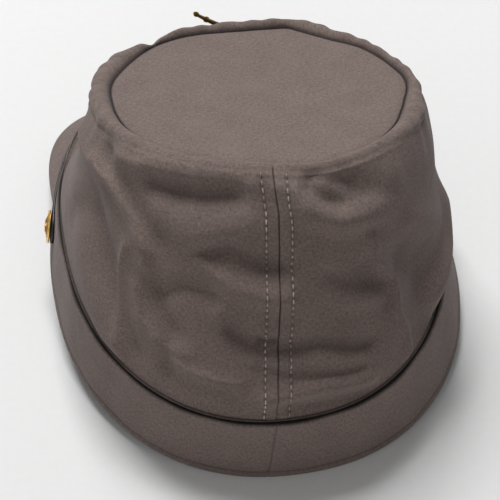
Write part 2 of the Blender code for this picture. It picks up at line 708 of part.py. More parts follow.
# The pin runs from the crossing straight back until it nearly meets the cloth
crown_tree = BVHTree.FromObject(crown_side, bpy.context.evaluated_depsgraph_get())
pin_way = (badge_frame.to_3x3() @ Vector((0.0, 1.0, 0.0))).normalized()
pin_reaches = []
for ray in range(PIN_RAYS):
    turn = math.tau * ray / PIN_RAYS
    pin_rim = Vector((BADGE_PIN_RADIUS * math.cos(turn), 0.0, BADGE_PIN_RADIUS * math.sin(turn)))
    pin_reaches.append(crown_tree.ray_cast(badge_frame @ pin_rim, pin_way)[3])
pin_length = min(pin_reaches) - PIN_GAP
pin_ends = (Vector((0.0, SABRE_RADIUS / 2.0, 0.0)), Vector((0.0, pin_length, 0.0)))
badge_pieces.append(sweep("pin", [(end, BADGE_PIN_RADIUS) for end in pin_ends], PIN_RESOLUTION))

crossed_sabres = add_piece("crossed_sabres", badge_pieces[0],
                           surface("badge_brass", BRASS_DULL, BRASS_ROUGHNESS, 1.0))
crossed_sabres.matrix_local = badge_frame
for number, extra in enumerate(badge_pieces[1:]):
    member = add_cutter("badge_member_%d" % number, extra, badge_frame)
    add_boolean(crossed_sabres, "join_%d" % number, "UNION", member)


# Standing

peak_low = min((peak.matrix_local @ corner.co for corner in peak.data.vertices), key=lambda place: place.z)
band_back = band_point(0.0, 0.0)
lean = math.atan2(-peak_low.z, band_back.y - peak_low.y)
leaning = Matrix.Rotation(-lean, 4, "X")
ground = (leaning @ band_back).z + PRESS
cap_root.matrix_world = Matrix.Translation((0.0, 0.0, -ground)) @ leaning
bpy.context.view_layer.update()

# The soft lower edges of the band and the peak press flat on the ground
for soft in (band, peak):
    back_to_piece = soft.matrix_world.inverted()
    for corner in soft.data.vertices:
        place = soft.matrix_world @ corner.co
        if place.z < 0.0:
            place.z = 0.0
            corner.co = back_to_piece @ place

# The middle of the whole cap's footprint becomes the origin
places = [piece.matrix_world @ corner.co for piece in cap_parts.objects if piece.type == "MESH"
          for corner in evaluated_mesh(piece).vertices]
middle_x = (min(place.x for place in places) + max(place.x for place in places)) / 2.0
middle_y = (min(place.y for place in places) + max(place.y for place in places)) / 2.0
cap_root.location.x -= middle_x
cap_root.location.y -= middle_y
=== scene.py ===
import math

import bpy
import numpy as np
from mathutils import Matrix, Vector


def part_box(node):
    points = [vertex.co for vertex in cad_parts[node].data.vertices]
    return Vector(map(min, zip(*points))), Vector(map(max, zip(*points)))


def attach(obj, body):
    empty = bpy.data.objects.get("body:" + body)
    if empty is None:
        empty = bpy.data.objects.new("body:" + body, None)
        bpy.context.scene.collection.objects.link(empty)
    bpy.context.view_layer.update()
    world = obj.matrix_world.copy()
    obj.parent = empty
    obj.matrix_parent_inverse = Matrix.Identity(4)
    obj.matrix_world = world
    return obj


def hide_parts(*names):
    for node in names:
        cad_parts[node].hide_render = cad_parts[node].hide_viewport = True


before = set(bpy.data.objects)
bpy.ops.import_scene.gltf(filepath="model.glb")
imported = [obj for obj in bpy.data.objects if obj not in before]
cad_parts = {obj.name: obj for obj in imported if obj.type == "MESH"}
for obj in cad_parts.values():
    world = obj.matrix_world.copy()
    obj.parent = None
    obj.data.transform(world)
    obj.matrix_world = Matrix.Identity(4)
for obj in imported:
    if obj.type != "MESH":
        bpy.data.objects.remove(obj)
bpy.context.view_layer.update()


# The crown side

# The tall soft wall of the cap: one length of plain-woven cotton, joined by a seam down the back.
# Its lower edge is sewn inside the band.  Its upper edge rolls over the rim of the flat top and is
# gathered there, and the wall slumps forward in soft folds.

MM = 0.001

# The cap is drawn upright in millimetres, back seam to +Y, peak to -Y, the wearer's left to +X.
# It stands leaned back by this much.
LEAN_DEG = 6.859
TIP_CENTRE = np.array((-2.7, -20.6, 91.0))
TIP_THICK = 1.6
TIP_RADIUS = 59.8
TIP_SLOPE_DEG = 21.8
TIP_ROLL_DEG = 2.2

BAND_HEIGHT = 36.0
BAND_THICK = 2.0
OVAL_POWER = 2.19
LOW_OVAL = {"length": 102.8, "width": 85.9, "x": 0.0, "y": 0.0, "egg": 0.01}
TOP_OVAL = {"length": 97.3, "width": 78.5, "x": 3.5, "y": 3.6, "egg": -0.01}

SEAM_GAP = 0.3
TUCK_DEPTH = 6.0
WALL_LIFT = 0.5
WALL_SWELL = 3.0
ROLL_DROP = 3.0
FOLD_DEPTH = 5.8
FOLD_REACH = 10.0
CLOTH_THICK = 1.1


def axes(degrees, axis):
    """A turn about one axis as a 3 by 3 array."""
    return np.array(Matrix.Rotation(math.radians(degrees), 3, axis))


tip_turn = axes(-TIP_ROLL_DEG, "Y") @ axes(TIP_SLOPE_DEG, "X")
lean_turn = axes(-LEAN_DEG, "X")
tip_low, tip_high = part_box("crown_tip")
tip_middle = TIP_CENTRE + tip_turn @ np.array((0.0, 0.0, -TIP_THICK / 2.0))
stand = np.array((tip_low + tip_high) / 2.0) / MM - lean_turn @ tip_middle


def to_world(points):
    """Places upright millimetres in the frame, leaned back and in metres."""
    return (np.asarray(points) @ lean_turn.T + stand) * MM


def squared(value):
    """The share of half an oval's size at a sine or cosine."""
    return np.sign(value) * np.abs(value) ** (2.0 / OVAL_POWER)


def oval_points(oval, angle, height):
    """Points of an oval at angles from the back, at the given heights."""
    along = squared(np.cos(angle))
    across = squared(np.sin(angle)) * (1.0 + oval["egg"] * along)
    return np.stack((oval["x"] + oval["width"] * across, oval["y"] + oval["length"] * along,
                     np.broadcast_to(height, along.shape)), axis=-1)


def band_points(angle, height, outward=0.0):
    """Points of the band's outer face, or that far outside it."""
    share = np.asarray(height / BAND_HEIGHT)[..., None]

    def face(turn):
        return oval_points(LOW_OVAL, turn, height) * (1 - share) + oval_points(TOP_OVAL, turn, height) * share

    step = math.radians(0.1)
    way = face(angle + step) - face(angle - step)
    out = np.stack((-way[..., 1], way[..., 0], np.zeros_like(way[..., 0])), axis=-1)
    out /= np.linalg.norm(out, axis=-1, keepdims=True)
    return face(angle) + out * np.asarray(outward)[..., None]


def tip_points(angle, radius, rise):
    """Points by the flat top, at angles from the back, a radius and a rise above its face."""
    flat = np.stack((radius * np.sin(angle), radius * np.cos(angle),
                     np.broadcast_to(rise, np.shape(radius * np.sin(angle)))), axis=-1)
    return TIP_CENTRE + flat @ tip_turn.T


def smooth(value, start, end):
    """Rises smoothly from 0 at the start to 1 at the end."""
    share = np.clip((value - start) / (end - start), 0.0, 1.0)
    return share * share * (3.0 - 2.0 * share)


def between(rows, places):
    """Smooth rows at the given places along a list of key rows."""
    rows = np.asarray(rows)
    low = np.clip(np.floor(places).astype(int), 0, len(rows) - 2)
    part = (places - low).reshape((-1,) + (1,) * (rows.ndim - 1))
    before = rows[np.maximum(low - 1, 0)]
    start = rows[low]
    end = rows[low + 1]
    after = rows[np.minimum(low + 2, len(rows) - 1)]
    return 0.5 * (2 * start + (end - before) * part + (2 * before - 5 * start + 4 * end - after) * part ** 2
                  + (3 * start - before - 3 * end + after) * part ** 3)


# The rim as the cap lies: the angle from the back in degrees, how far out the seam of the flat top
# wanders there, and how wide the roll is outside it, in millimetres
RIM = (
    (0, 0.9, 5.4), (11, -0.5, 5.0), (33, 0.0, 5.6), (70, 0.3, 6.6), (80, -0.3, 7.0), (92, -0.7, 7.5),
    (104, 0.1, 8.0), (112, 0.1, 8.3), (118, -0.4, 9.0), (126, -0.5, 8.2), (131, -0.3, 7.0), (137, 0.2, 5.4),
    (141, 0.5, 3.0), (144, 0.8, 0.4), (147, 0.9, 0.9), (151, 0.8, 3.4), (158, 0.6, 4.2), (167, -0.3, 4.2),
    (174, -1.4, 4.8), (184, -1.5, 5.5), (195, 0.5, 4.6), (202, 2.8, 4.8), (206, 0.8, 6.5), (214, -1.6, 7.6),
    (223, -2.7, 5.8), (236, -0.8, 4.4), (245, -1.0, 4.0), (257, -0.9, 3.6), (266, 0.0, 3.9), (272, -0.3, 4.2),
    (286, -2.7, 6.6), (297, -2.8, 8.4), (306, -1.7, 7.6), (315, -0.9, 6.6), (330, 0.3, 6.0), (345, 2.2, 5.6),
    (356, 2.4, 5.2),
)
RIM_ANGLES, RIM_SEAMS, RIM_ROLLS = zip(*RIM)
RIM_BLUR_DEG = 1.6
RIM_EVEN_BLUR_DEG = 9.0


def rim(values, angle, blur=RIM_BLUR_DEG):
    """One column of the rim's table at the angles, blended over about that many degrees."""
    total = 0.0
    weights = 0.0
    for step in np.linspace(-2.0, 2.0, 9):
        weight = math.exp(-step * step)
        total = total + weight * np.interp(np.degrees(angle) + step * blur, RIM_ANGLES, values, period=360.0)
        weights += weight
    return total / weights


# The back seam leans from the middle of the back at the band towards the wearer's left at the rim
SEAM_PATH = ((0.0, 0.5, 0.85, 1.0), (4.0, 4.0, 5.0, 7.0))
SEAM_ZONE = 8.0
SEAM_MIDDLE_DEG = 5.0
FINE_STEP = 0.2
PLAIN_STEP = 1.35
MEAN_RADIUS = 80.0


def seam_angle(height):
    """The angle of the back seam at a share of the wall's height."""
    return np.radians(np.interp(height, *SEAM_PATH))


# Stations round the cap: close together at the back seam, wider elsewhere
seam_turn = SEAM_ZONE / MEAN_RADIUS
seam_middle = math.radians(SEAM_MIDDLE_DEG)
fine_count = int(2 * SEAM_ZONE / FINE_STEP)
plain_count = int((math.tau - 2 * seam_turn) * MEAN_RADIUS / PLAIN_STEP)
stations = np.concatenate((
    np.linspace(seam_middle - seam_turn, seam_middle + seam_turn, fine_count, endpoint=False),
    np.linspace(seam_middle + seam_turn, seam_middle + math.tau - seam_turn, plain_count, endpoint=False)))

# Section of the plain wall and roll.  Wall rows: share of the height, share of the swell.
# Roll rows: share of the roll's width beyond the flat top, share of its drop above the top's face,
# and the same two for the back, where the roll lies pressed down into a soft shoulder.
WALL_ROWS = (
    (0.03, 0.20), (0.08, 0.55), (0.14, 0.70), (0.20, 0.75), (0.27, 0.75), (0.34, 0.70), (0.41, 0.70),
    (0.48, 0.75), (0.55, 0.80), (0.62, 0.90), (0.69, 1.00), (0.76, 1.05), (0.83, 1.00), (0.89, 0.85),
    (0.95, 0.60), (0.975, 0.46), (0.99, 0.36), (1.00, 0.30),
)
ROLL_ROWS = (
    (1.10, -0.35, 0.89, -0.18), (1.02, 0.25, 0.75, 0.14), (0.78, 0.68, 0.58, 0.42), (0.46, 0.74, 0.38, 0.56),
    (0.20, 0.42, 0.17, 0.38), (0.02, -0.15, 0.02, -0.15), (-0.10, -0.75, -0.10, -0.75),
)
SHOULDER_DEG = 10.0
SHOULDER_DROP = 1.3

lower = band_points(stations, BAND_HEIGHT, -BAND_THICK - SEAM_GAP) + np.array((0.0, 0.0, WALL_LIFT))
seam_radius = TIP_RADIUS + rim(RIM_SEAMS, stations)
roll_width = rim(RIM_ROLLS, stations)
upper_radius = TIP_RADIUS + rim(RIM_SEAMS, stations, RIM_EVEN_BLUR_DEG)
upper_radius += rim(RIM_ROLLS, stations, RIM_EVEN_BLUR_DEG)
shoulder = smooth(np.cos(stations - math.radians(SHOULDER_DEG)), 0.30, 0.85)
roll_drop = ROLL_DROP + (SHOULDER_DROP - ROLL_DROP) * shoulder
upper = tip_points(stations, upper_radius, -roll_drop)
outward = tip_points(stations, upper_radius + 1.0, -roll_drop) - upper
side = np.roll(lower, -1, axis=0) - np.roll(lower, 1, axis=0)
wall_out = np.cross(upper - lower, side)
wall_out /= np.linalg.norm(wall_out, axis=-1, keepdims=True)
wall_length = np.linalg.norm(upper - lower, axis=-1)

key_rows = [band_points(stations, BAND_HEIGHT - TUCK_DEPTH, -BAND_THICK - SEAM_GAP),
            band_points(stations, BAND_HEIGHT, -BAND_THICK - SEAM_GAP), lower]
key_heights = [-0.07, -0.01, 0.0]
for share, swell in WALL_ROWS:
    uneven = (seam_radius + roll_width - upper_radius) * smooth(share, 0.72, 1.0)
    key_rows.append(lower * (1 - share) + upper * share + wall_out * swell * WALL_SWELL
                    + outward * uneven[:, None])
    key_heights.append(share)
for out, rise, back_out, back_rise in ROLL_ROWS:
    crest = ROLL_DROP * rise * (np.clip(roll_width / 4.0, 0.15, 1.0) if rise > 0.0 else 1.0)
    crest = crest + (ROLL_DROP * back_rise - crest) * shoulder
    beyond = out + (back_out - out) * shoulder
    key_rows.append(tip_points(stations, seam_radius + SEAM_GAP + roll_width * beyond, crest))
    key_heights.append(key_heights[-1] + 0.02)

ROWS_BETWEEN = 6
row_places = np.arange(0, (len(key_rows) - 1) * ROWS_BETWEEN + 1) / ROWS_BETWEEN
plain_wall = between(key_rows, row_places)
heights = np.interp(row_places, range(len(key_heights)), key_heights)

# Folds of the wall.  A row has a path of places, each the angle round the cap in degrees and the share
# of the wall's height, and then the reach to each side as a share of FOLD_REACH, the depth as a share of
# FOLD_DEPTH, above 0 for a ridge, and the edge: 2 for a soft fold and nearer 1 for a sharp crease.
FOLDS = (
    (((62, 0.948), (38, 1), (16, 0.981)), 0.6, 0.5, 2.0),
    (((47, 0.897), (38, 0.893), (20, 0.925)), 0.5, -0.75, 1.8),
    (((43, 0.739), (30, 0.743), (14, 0.799)), 0.73, 0.34, 2.0),
    (((5, 0.956), (0, 0.943)), 0.44, 0.29, 2.0),
    (((-5, 1), (-7, 0.998), (-4, 0.994)), 0.25, -0.8, 1.6),
    (((-4, 0.943), (-8, 0.899), (-14, 0.865)), 0.33, -0.56, 1.8),
    (((-16, 0.976), (-21, 0.89), (-33, 0.83)), 0.59, -0.66, 1.8),
    (((-4, 0.872), (-11, 0.819), (-19, 0.806), (-32, 0.832)), 0.85, 0.86, 1.9),
    (((28, 0.662), (19, 0.702), (12, 0.652), (4, 0.627)), 0.45, -0.62, 1.4),
    (((33, 0.705), (20, 0.754), (14, 0.702)), 0.47, 0.14, 2.0),
    (((28, 0.633), (22, 0.588)), 0.32, 0.5, 1.4),
    (((18, 0.546), (8, 0.523), (3, 0.514)), 0.52, 0.62, 2.0),
    (((41, 0.427), (34, 0.5), (24, 0.508)), 0.34, -0.4, 1.4),
    (((-10, 0.581), (-21, 0.493), (-33, 0.439)), 0.34, -0.2, 1.6),
    (((-12, 0.472), (-28, 0.409)), 0.42, 0.34, 1.9),
    (((20, 0.463), (22, 0.419), (20, 0.34)), 0.26, 0.48, 1.3),
    (((19, 0.362), (14, 0.331), (8, 0.288), (-7, 0.302), (-22, 0.216)), 0.43, -0.68, 1.5),
    (((10, 0.248), (0, 0.231), (-23, 0.171)), 0.3, 0.45, 1.8),
    (((10, 0.232), (-4, 0.197), (-19, 0.147)), 0.26, -0.34, 1.6),
    (((7, 0.1), (-8, 0.128), (-22, 0.089)), 0.35, 0.55, 1.8),
    (((1, 0.062), (-9, 0.041), (-20, 0.015)), 0.35, -0.25, 1.7),
    (((33, 0.18), (25, 0.16), (15, 0.159)), 0.26, 0.38, 1.3),
    (((37, 0.232), (36, 0.108)), 0.36, -0.4, 1.4),
    (((39, 0.22), (31, 0.235)), 0.34, 0.32, 1.5),
    (((74, 0.86), (61, 0.795), (52, 0.705), (46, 0.6), (46, 0.53)), 0.3, 0.62, 1.0),
    (((67, 0.892), (54, 0.738), (44, 0.683)), 0.82, -0.57, 1.9),
    (((69, 0.574), (60, 0.425), (53, 0.206), (48, 0.116)), 0.52, -0.45, 1.8),
    (((54, 0.577), (57, 0.405), (55, 0.259), (54, 0.094)), 0.22, 0.42, 1.1),
    (((84, 0.391), (72, 0.665)), 0.58, -0.3, 1.9),
    (((49, 0.409), (46, 0.299), (41, 0.245)), 0.26, 0.36, 1.4),
    (((44, 0.518), (42, 0.396), (36, 0.305)), 0.39, -0.28, 1.8),
    (((-24, 0.689), (-26, 0.581), (-34, 0.434), (-35, 0.275), (-39, 0.132), (-39, 0.058)), 0.26, 0.56, 1.2),
    (((-22, 0.556), (-32, 0.358), (-40, 0.109)), 0.55, -0.4, 1.9),
    (((-39, 0.516), (-46, 0.403), (-50, 0.109)), 0.85, -0.59, 1.9),
    (((-2, 0.789), (-14, 0.725), (-25, 0.71)), 0.37, -0.21, 2.0),
    (((9, 0.332), (5, 0.33)), 0.16, -0.6, 1.4),
    (((9, 0.619), (8, 0.62)), 0.16, -0.25, 1.4),
    (((94, 0.84), (64, 0.82), (48, 0.62)), 0.45, 0.43, 1.2),
    (((85, 0.46), (59, 0.09)), 1.0, 0.39, 2.0),
    (((-76, 0.32), (-70, 0.19), (-56, 0.15)), 0.85, 0.8, 2.0),
    (((-44, 0.64), (-64, 0.44)), 0.6, 0.35, 1.9),
    (((128, 0.15), (118, 0.4), (106, 0.75)), 1.3, -1.1, 2.0),
    (((136, 0.3), (144, 0.8)), 0.6, 0.4, 1.8),
    (((152, 0.75), (166, 0.3)), 0.6, -0.45, 1.7),
    (((176, 0.62), (186, 0.55)), 0.7, -0.3, 1.9),
    (((-116, 0.9), (-108, 0.35)), 0.7, -0.55, 1.7),
    (((-134, 0.25), (-146, 0.75)), 0.6, 0.45, 1.8),
    (((-160, 0.7), (-168, 0.3)), 0.6, -0.4, 1.7),
)
UNROLLED_RADIUS = (TIP_RADIUS + TOP_OVAL["width"]) / 2.0


def fold_height(angle, height, length):
    """The height of all folds together over a grid of angles and heights, in millimetres."""
    total = np.zeros(np.broadcast(angle, height).shape)
    for path, reach, depth, edge in FOLDS:
        nearest = np.full(total.shape, np.inf)
        for (turn_a, share_a), (turn_b, share_b) in zip(path, path[1:]):
            to_a = np.remainder(math.radians(turn_a) - angle + math.pi, math.tau) - math.pi
            to_b = to_a + math.radians(turn_b - turn_a)
            ax, ay = to_a * UNROLLED_RADIUS, (share_a - height) * length
            bx, by = to_b * UNROLLED_RADIUS, (share_b - height) * length
            wx, wy = bx - ax, by - ay
            share = np.clip(-(ax * wx + ay * wy) / (wx * wx + wy * wy), 0.0, 1.0)
            nearest = np.minimum(nearest, np.hypot(ax + wx * share, ay + wy * share))
        total += depth * FOLD_DEPTH * np.exp(-(nearest / (reach * FOLD_REACH)) ** edge)
    return total


# Gathers of the roll: how many run round it, their depth in millimetres and where they start
GATHERS = ((22, 0.22, 140.0), (37, 0.20, 10.0), (53, 0.12, 200.0))


def gather_height(angle):
    """The height of the gathers along the edge of the roll, in millimetres."""
    return sum(depth * np.sin(count * angle + math.radians(start)) for count, depth, start in GATHERS)


def normals_of(grid):
    """The outward direction at each point of a grid whose rows are closed rings."""
    round_way = np.roll(grid, -1, axis=1) - np.roll(grid, 1, axis=1)
    up_way = np.gradient(grid, axis=0)
    out = np.cross(up_way, round_way)
    return out / np.linalg.norm(out, axis=-1, keepdims=True)


angle_grid, height_grid = np.meshgrid(stations, heights)
folds = fold_height(angle_grid, height_grid, wall_length[None, :])
folds *= smooth(height_grid, 0.0, 0.05) * (1.0 - 0.6 * smooth(height_grid, 0.94, 1.0))
folds *= 1.0 - smooth(height_grid, 1.04, 1.12)
gathers = gather_height(angle_grid) * smooth(height_grid, 0.75, 1.0) * (1.0 - smooth(height_grid, 1.06, 1.12))
wall = plain_wall + normals_of(plain_wall) * (folds + gathers)[..., None]

# The pressed shoulder has no edge of its own: its rows are eased between their neighbours
EASING_STEPS = 14
eased = (smooth(height_grid, 0.95, 1.0) * (1.0 - smooth(height_grid, 1.06, 1.10)) * shoulder)[..., None]
for step in range(EASING_STEPS):
    wall[1:-1] += 0.5 * eased[1:-1] * ((wall[:-2] + wall[2:]) / 2.0 - wall[1:-1])

# The back seam: the cloth stands up a little over the seam allowance, sinks at the join between the
# two edges, and is pulled in at each stitch of the two rows of topstitching
TOPSTITCH_OFFSET = 4.9
STITCH_PITCH = 3.0
ALLOWANCE_RISE = 0.35
JOIN_DEPTH = 0.55
JOIN_REACH = 0.26
STITCH_PULL = 0.3
STITCH_REACH = 0.7

ring_steps = np.linalg.norm(wall - np.roll(wall, 1, axis=1), axis=-1)
ring_steps[:, 0] = 0.0
ring_places = np.cumsum(ring_steps, axis=1)
seam_places = np.array([np.interp(seam_angle(height), stations, places)
                        for height, places in zip(heights, ring_places)])
from_seam = ring_places - seam_places[:, None]
first_row = int(np.searchsorted(heights, 0.0))


def line_up(grid, offset):
    """A line up a grid of the wall, one place in each row, at a distance to one side of the back seam."""
    return np.array([[np.interp(offset, from_seam[row], grid[row, :, axis]) for axis in range(3)]
                     for row in range(len(heights))])


def lengths_up(line):
    """How far along a line of points each one is, from the top of the band."""
    places = np.concatenate(((0.0,), np.cumsum(np.linalg.norm(np.diff(line, axis=0), axis=-1))))
    return places - places[first_row]


up_places = lengths_up(line_up(wall, 0.0))
stitch_places = np.where(from_seam < 0.0, lengths_up(line_up(wall, -TOPSTITCH_OFFSET))[:, None],
                         lengths_up(line_up(wall, TOPSTITCH_OFFSET))[:, None])
sewn = smooth(height_grid, -0.005, 0.005) * (1.0 - smooth(height_grid, 1.02, 1.08))
stitched = sewn * (1.0 - smooth(height_grid, 0.99, 1.02))
allowance = ALLOWANCE_RISE * (1.0 - smooth(np.abs(from_seam), TOPSTITCH_OFFSET, TOPSTITCH_OFFSET + 2.8))
join = np.exp(-(from_seam / JOIN_REACH) ** 2) * sewn
pull = np.exp(-((np.abs(from_seam) - TOPSTITCH_OFFSET) / STITCH_REACH) ** 2) * stitched
hole = pull * (0.5 + 0.5 * np.cos(math.tau * stitch_places / STITCH_PITCH)) ** 2
pull *= 0.7 + 0.3 * np.cos(math.tau * stitch_places / STITCH_PITCH)
wall_normals = normals_of(wall)
wall = wall + wall_normals * (allowance * sewn - JOIN_DEPTH * join - STITCH_PULL * pull)[..., None]


def ring_faces(count, rows):
    """Faces between closed rings with the same number of points."""
    row, column = np.meshgrid(np.arange(rows - 1), np.arange(count), indexing="ij")
    beside = (column + 1) % count
    corners = (row * count + column, row * count + beside, (row + 1) * count + beside, (row + 1) * count + column)
    return np.stack(corners, axis=-1).reshape(-1, 4)


def cut_flat(share, up, low_round, high_round, height):
    """Cloth coordinates of a piece that narrows upwards, laid flat as it was cut: the share of the way
    round from the back seam, the length up, and how long it is round its lower and upper edges."""
    spread = (low_round - high_round) / height
    reach = low_round / spread - up
    return np.stack((reach * np.sin(share * spread), reach * np.cos(share * spread)), axis=-1)


def make_piece(name, points, faces, cloth_places=None, shade=None, carried_on=None):
    """A smooth mesh in the frame, with its cloth coordinates in metres and its own shading.  The faces
    in front, where the cloth's two halves meet, take the coordinates of one half carried on."""
    mesh = bpy.data.meshes.new(name)
    corners = to_world(np.asarray(points).reshape(-1, 3)).tolist()
    mesh.from_pydata(corners, [], [tuple(int(corner) for corner in face) for face in faces])
    if cloth_places is not None:
        layer = mesh.uv_layers.new(name="cloth")
        corners = np.zeros(len(mesh.loops), int)
        mesh.loops.foreach_get("vertex_index", corners)
        places = np.asarray(cloth_places).reshape(-1, 2)[corners]
        if carried_on is not None:
            meeting = np.repeat(np.ptp(places[:, 0].reshape(-1, 4), axis=1) > 100.0, 4)
            places = np.where(meeting[:, None], np.asarray(carried_on).reshape(-1, 2)[corners], places)
        layer.data.foreach_set("uv", (places * MM).ravel())
    if shade is not None:
        layer = mesh.attributes.new("shade", "FLOAT", "POINT")
        layer.data.foreach_set("value", np.asarray(shade, np.float32).ravel())
    mesh.polygons.foreach_set("use_smooth", [True] * len(mesh.polygons))
    mesh.update()
    piece = bpy.data.objects.new(name, mesh)
    bpy.context.scene.collection.objects.link(piece)
    return piece


def srgb(code):
    """Linear colour of a hex code."""
    parts = [int(code[place:place + 2], 16) / 255.0 for place in (1, 3, 5)]
    return tuple(part / 12.92 if part <= 0.04045 else ((part + 0.055) / 1.055) ** 2.4 for part in parts) + (1.0,)


def add_node(material, kind, values=None, **settings):
    """Adds a node with its settings; values are numbers, colours, or (node, socket) to link from."""
    node = material.node_tree.nodes.new("ShaderNode" + kind)
    for key, setting in settings.items():
        setattr(node, key, setting)
    for socket, value in (values or {}).items():
        if isinstance(value, tuple) and isinstance(value[0], bpy.types.Node):
            material.node_tree.links.new(value[0].outputs[value[1]], node.inputs[socket])
        else:
            node.inputs[socket].default_value = value
    return node


def bare_material(name):
    """A material with an empty node tree."""
    material = bpy.data.materials.new(name)
    material.use_nodes = True
    material.node_tree.nodes.clear()
    return material


THREAD_SPACING = 0.00085


def woven_cotton(name, warp="#7b6c67", weft="#52453f", crease="#120c0a", sheen=0.06):
    """Plain-woven cotton, dyed in the piece and unglazed: dull, slightly hairy, with a fine grain of threads
    whose thickness varies, and a little mottled.  The shade attribute mixes in painted shade towards the
    crease colour, darker down in creases, seams, gaps and inside.  The real threads are about 0.4 mm
    apart; they are drawn twice as coarse, so that they show."""
    material = bare_material(name)
    places = add_node(material, "UVMap", uv_map="cloth")
    apart = add_node(material, "SeparateXYZ", {"Vector": (places, "UV")})
    turn = math.tau / THREAD_SPACING
    across = add_node(material, "Math", {0: (apart, "X"), 1: turn}, operation="MULTIPLY")
    along = add_node(material, "Math", {0: (apart, "Y"), 1: turn}, operation="MULTIPLY")
    over = add_node(material, "Math", {0: (across, 0)}, operation="SINE")
    under = add_node(material, "Math", {0: (along, 0)}, operation="SINE")
    crossing = add_node(material, "Math", {0: (over, 0), 1: (under, 0)}, operation="MULTIPLY")
    warp_way = add_node(material, "Mapping", {"Vector": (places, "UV"), "Scale": (1500.0, 600.0, 1.0)})
    weft_way = add_node(material, "Mapping", {"Vector": (places, "UV"), "Scale": (600.0, 1500.0, 1.0)})
    warp_slub = add_node(material, "TexNoise", {"Vector": (warp_way, 0), "Scale": 1.0, "Detail": 2.0})
    weft_slub = add_node(material, "TexNoise", {"Vector": (weft_way, 0), "Scale": 1.0, "Detail": 2.0})
    slub = add_node(material, "Math", {0: (warp_slub, 0), 1: (weft_slub, 0)}, operation="ADD")
    grain = add_node(material, "Math", {0: (crossing, 0), 1: 0.12, 2: (slub, 0)}, operation="MULTIPLY_ADD")
    patchy = add_node(material, "TexNoise", {"Vector": (places, "UV"), "Scale": 70.0, "Detail": 4.0})
    thread = add_node(material, "MapRange", {"Value": (grain, 0), "From Min": 0.55, "From Max": 1.45})
    dyed = add_node(material, "Mix", {"Factor": (thread, 0), "A": srgb(weft), "B": srgb(warp)}, data_type="RGBA")
    faded = add_node(material, "MapRange", {"Value": (patchy, 0), "From Min": 0.3, "From Max": 0.7,
                                            "To Min": 0.93, "To Max": 1.07})
    mottled = add_node(material, "Mix", {"Factor": 1.0, "A": (dyed, "Result"), "B": (faded, 0)},
                       data_type="RGBA", blend_type="MULTIPLY")
    # Painted shade: the shade attribute mixes the cloth towards the near-black crease colour
    shade = add_node(material, "Attribute", attribute_name="shade")
    painted_shade_mix = add_node(material, "Mix", {"Factor": (shade, "Fac"), "A": (mottled, "Result"), "B": srgb(crease)},
                      data_type="RGBA")
    crumple = add_node(material, "TexNoise", {"Vector": (places, "UV"), "Scale": 130.0, "Detail": 5.0,
                                              "Roughness": 0.55})
    creased = add_node(material, "Bump", {"Height": (crumple, 0), "Strength": 0.35, "Distance": 0.0016})
    woven = add_node(material, "Bump", {"Height": (grain, 0), "Strength": 0.36, "Distance": 0.00025,
                                        "Normal": (creased, 0)})
    shader = add_node(material, "BsdfPrincipled", {
        "Base Color": (painted_shade_mix, "Result"), "Normal": (woven, 0), "Roughness": 0.92, "IOR": 1.47,
        "Sheen Weight": sheen, "Sheen Roughness": 0.5})
    add_node(material, "OutputMaterial", {"Surface": (shader, 0)})
    return material


wall_round = ring_places[:, -1] + np.linalg.norm(wall[:, 0] - wall[:, -1], axis=-1)
round_share = from_seam / wall_round[:, None]
round_share -= np.round(round_share)
top_row = int(np.searchsorted(heights, 1.0))
wall_cut = (wall_round[first_row], wall_round[top_row], up_places[top_row])
cloth_places = cut_flat(round_share, up_places[:, None], *wall_cut)
carried_on = cut_flat(round_share + (round_share < 0.0), up_places[:, None], *wall_cut)
# Painted shade on the wall: darker along the seam's join, a little stronger or weaker up the seam and fading at
# the foot; in the holes between stitches; down in the hollows of the folds; in the groove where the flat top is
# sewn on; and below the band's top edge, where the wall goes in
join_shade_and_brass_wear = 0.85 + 0.15 * np.sin(23.0 * height_grid + 1.0) * np.sin(9.0 * height_grid)
crown_shade = 1.05 * join * join_shade_and_brass_wear * smooth(height_grid, -0.02, 0.16) + 0.55 * hole
crown_shade += 0.04 * np.clip(-folds, 0.0, 3.0)
crown_shade += 0.95 * smooth(height_grid, 1.098, 1.13) + smooth(0.012 - height_grid, 0.0, 0.012)
crown = make_piece("crown_side_cloth", wall, ring_faces(len(stations), len(heights)), cloth_places,
                   np.clip(crown_shade, 0.0, 1.0), carried_on)
crown.data.materials.append(woven_cotton("crown_side_cotton"))
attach(crown, "root")
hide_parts("crown_side")

# The same cloth seen from inside the cap, with every third station and row, its face mixed 0.3 of the way to the
# crease colour as painted shade
inner_rows = wall[::3, ::3] - wall_normals[::3, ::3] * CLOTH_THICK
crown_inside = make_piece("crown_side_inside", inner_rows, ring_faces(inner_rows.shape[1], inner_rows.shape[0]),
                          cloth_places[::3, ::3], 0.3 * np.ones(inner_rows.shape[:2]), carried_on[::3, ::3])
crown_inside.data.materials.append(crown.data.materials[0])
crown_inside.data.flip_normals()
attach(crown_inside, "root")


# Topstitching of the back seam

# Two rows of lockstitch in pale cotton thread, one on each side of the join, through the wall and the
# allowance behind it.

THREAD_RADIUS = 0.32
THREAD_SIDES = 6
STITCH_LENGTH = 2.1
STITCH_RINGS = 5
# How deep the stitches are drawn in, up the seam: share of the row, and millimetres, below 0 where
# they lie proud of the cloth
DRAWN_IN = ((0.0, 0.28, 0.36, 0.46, 0.50, 0.58, 0.63, 0.71, 0.75, 1.0),
            (0.10, 0.08, 0.34, 0.32, 0.0, 0.0, 0.38, 0.34, -0.14, -0.18))


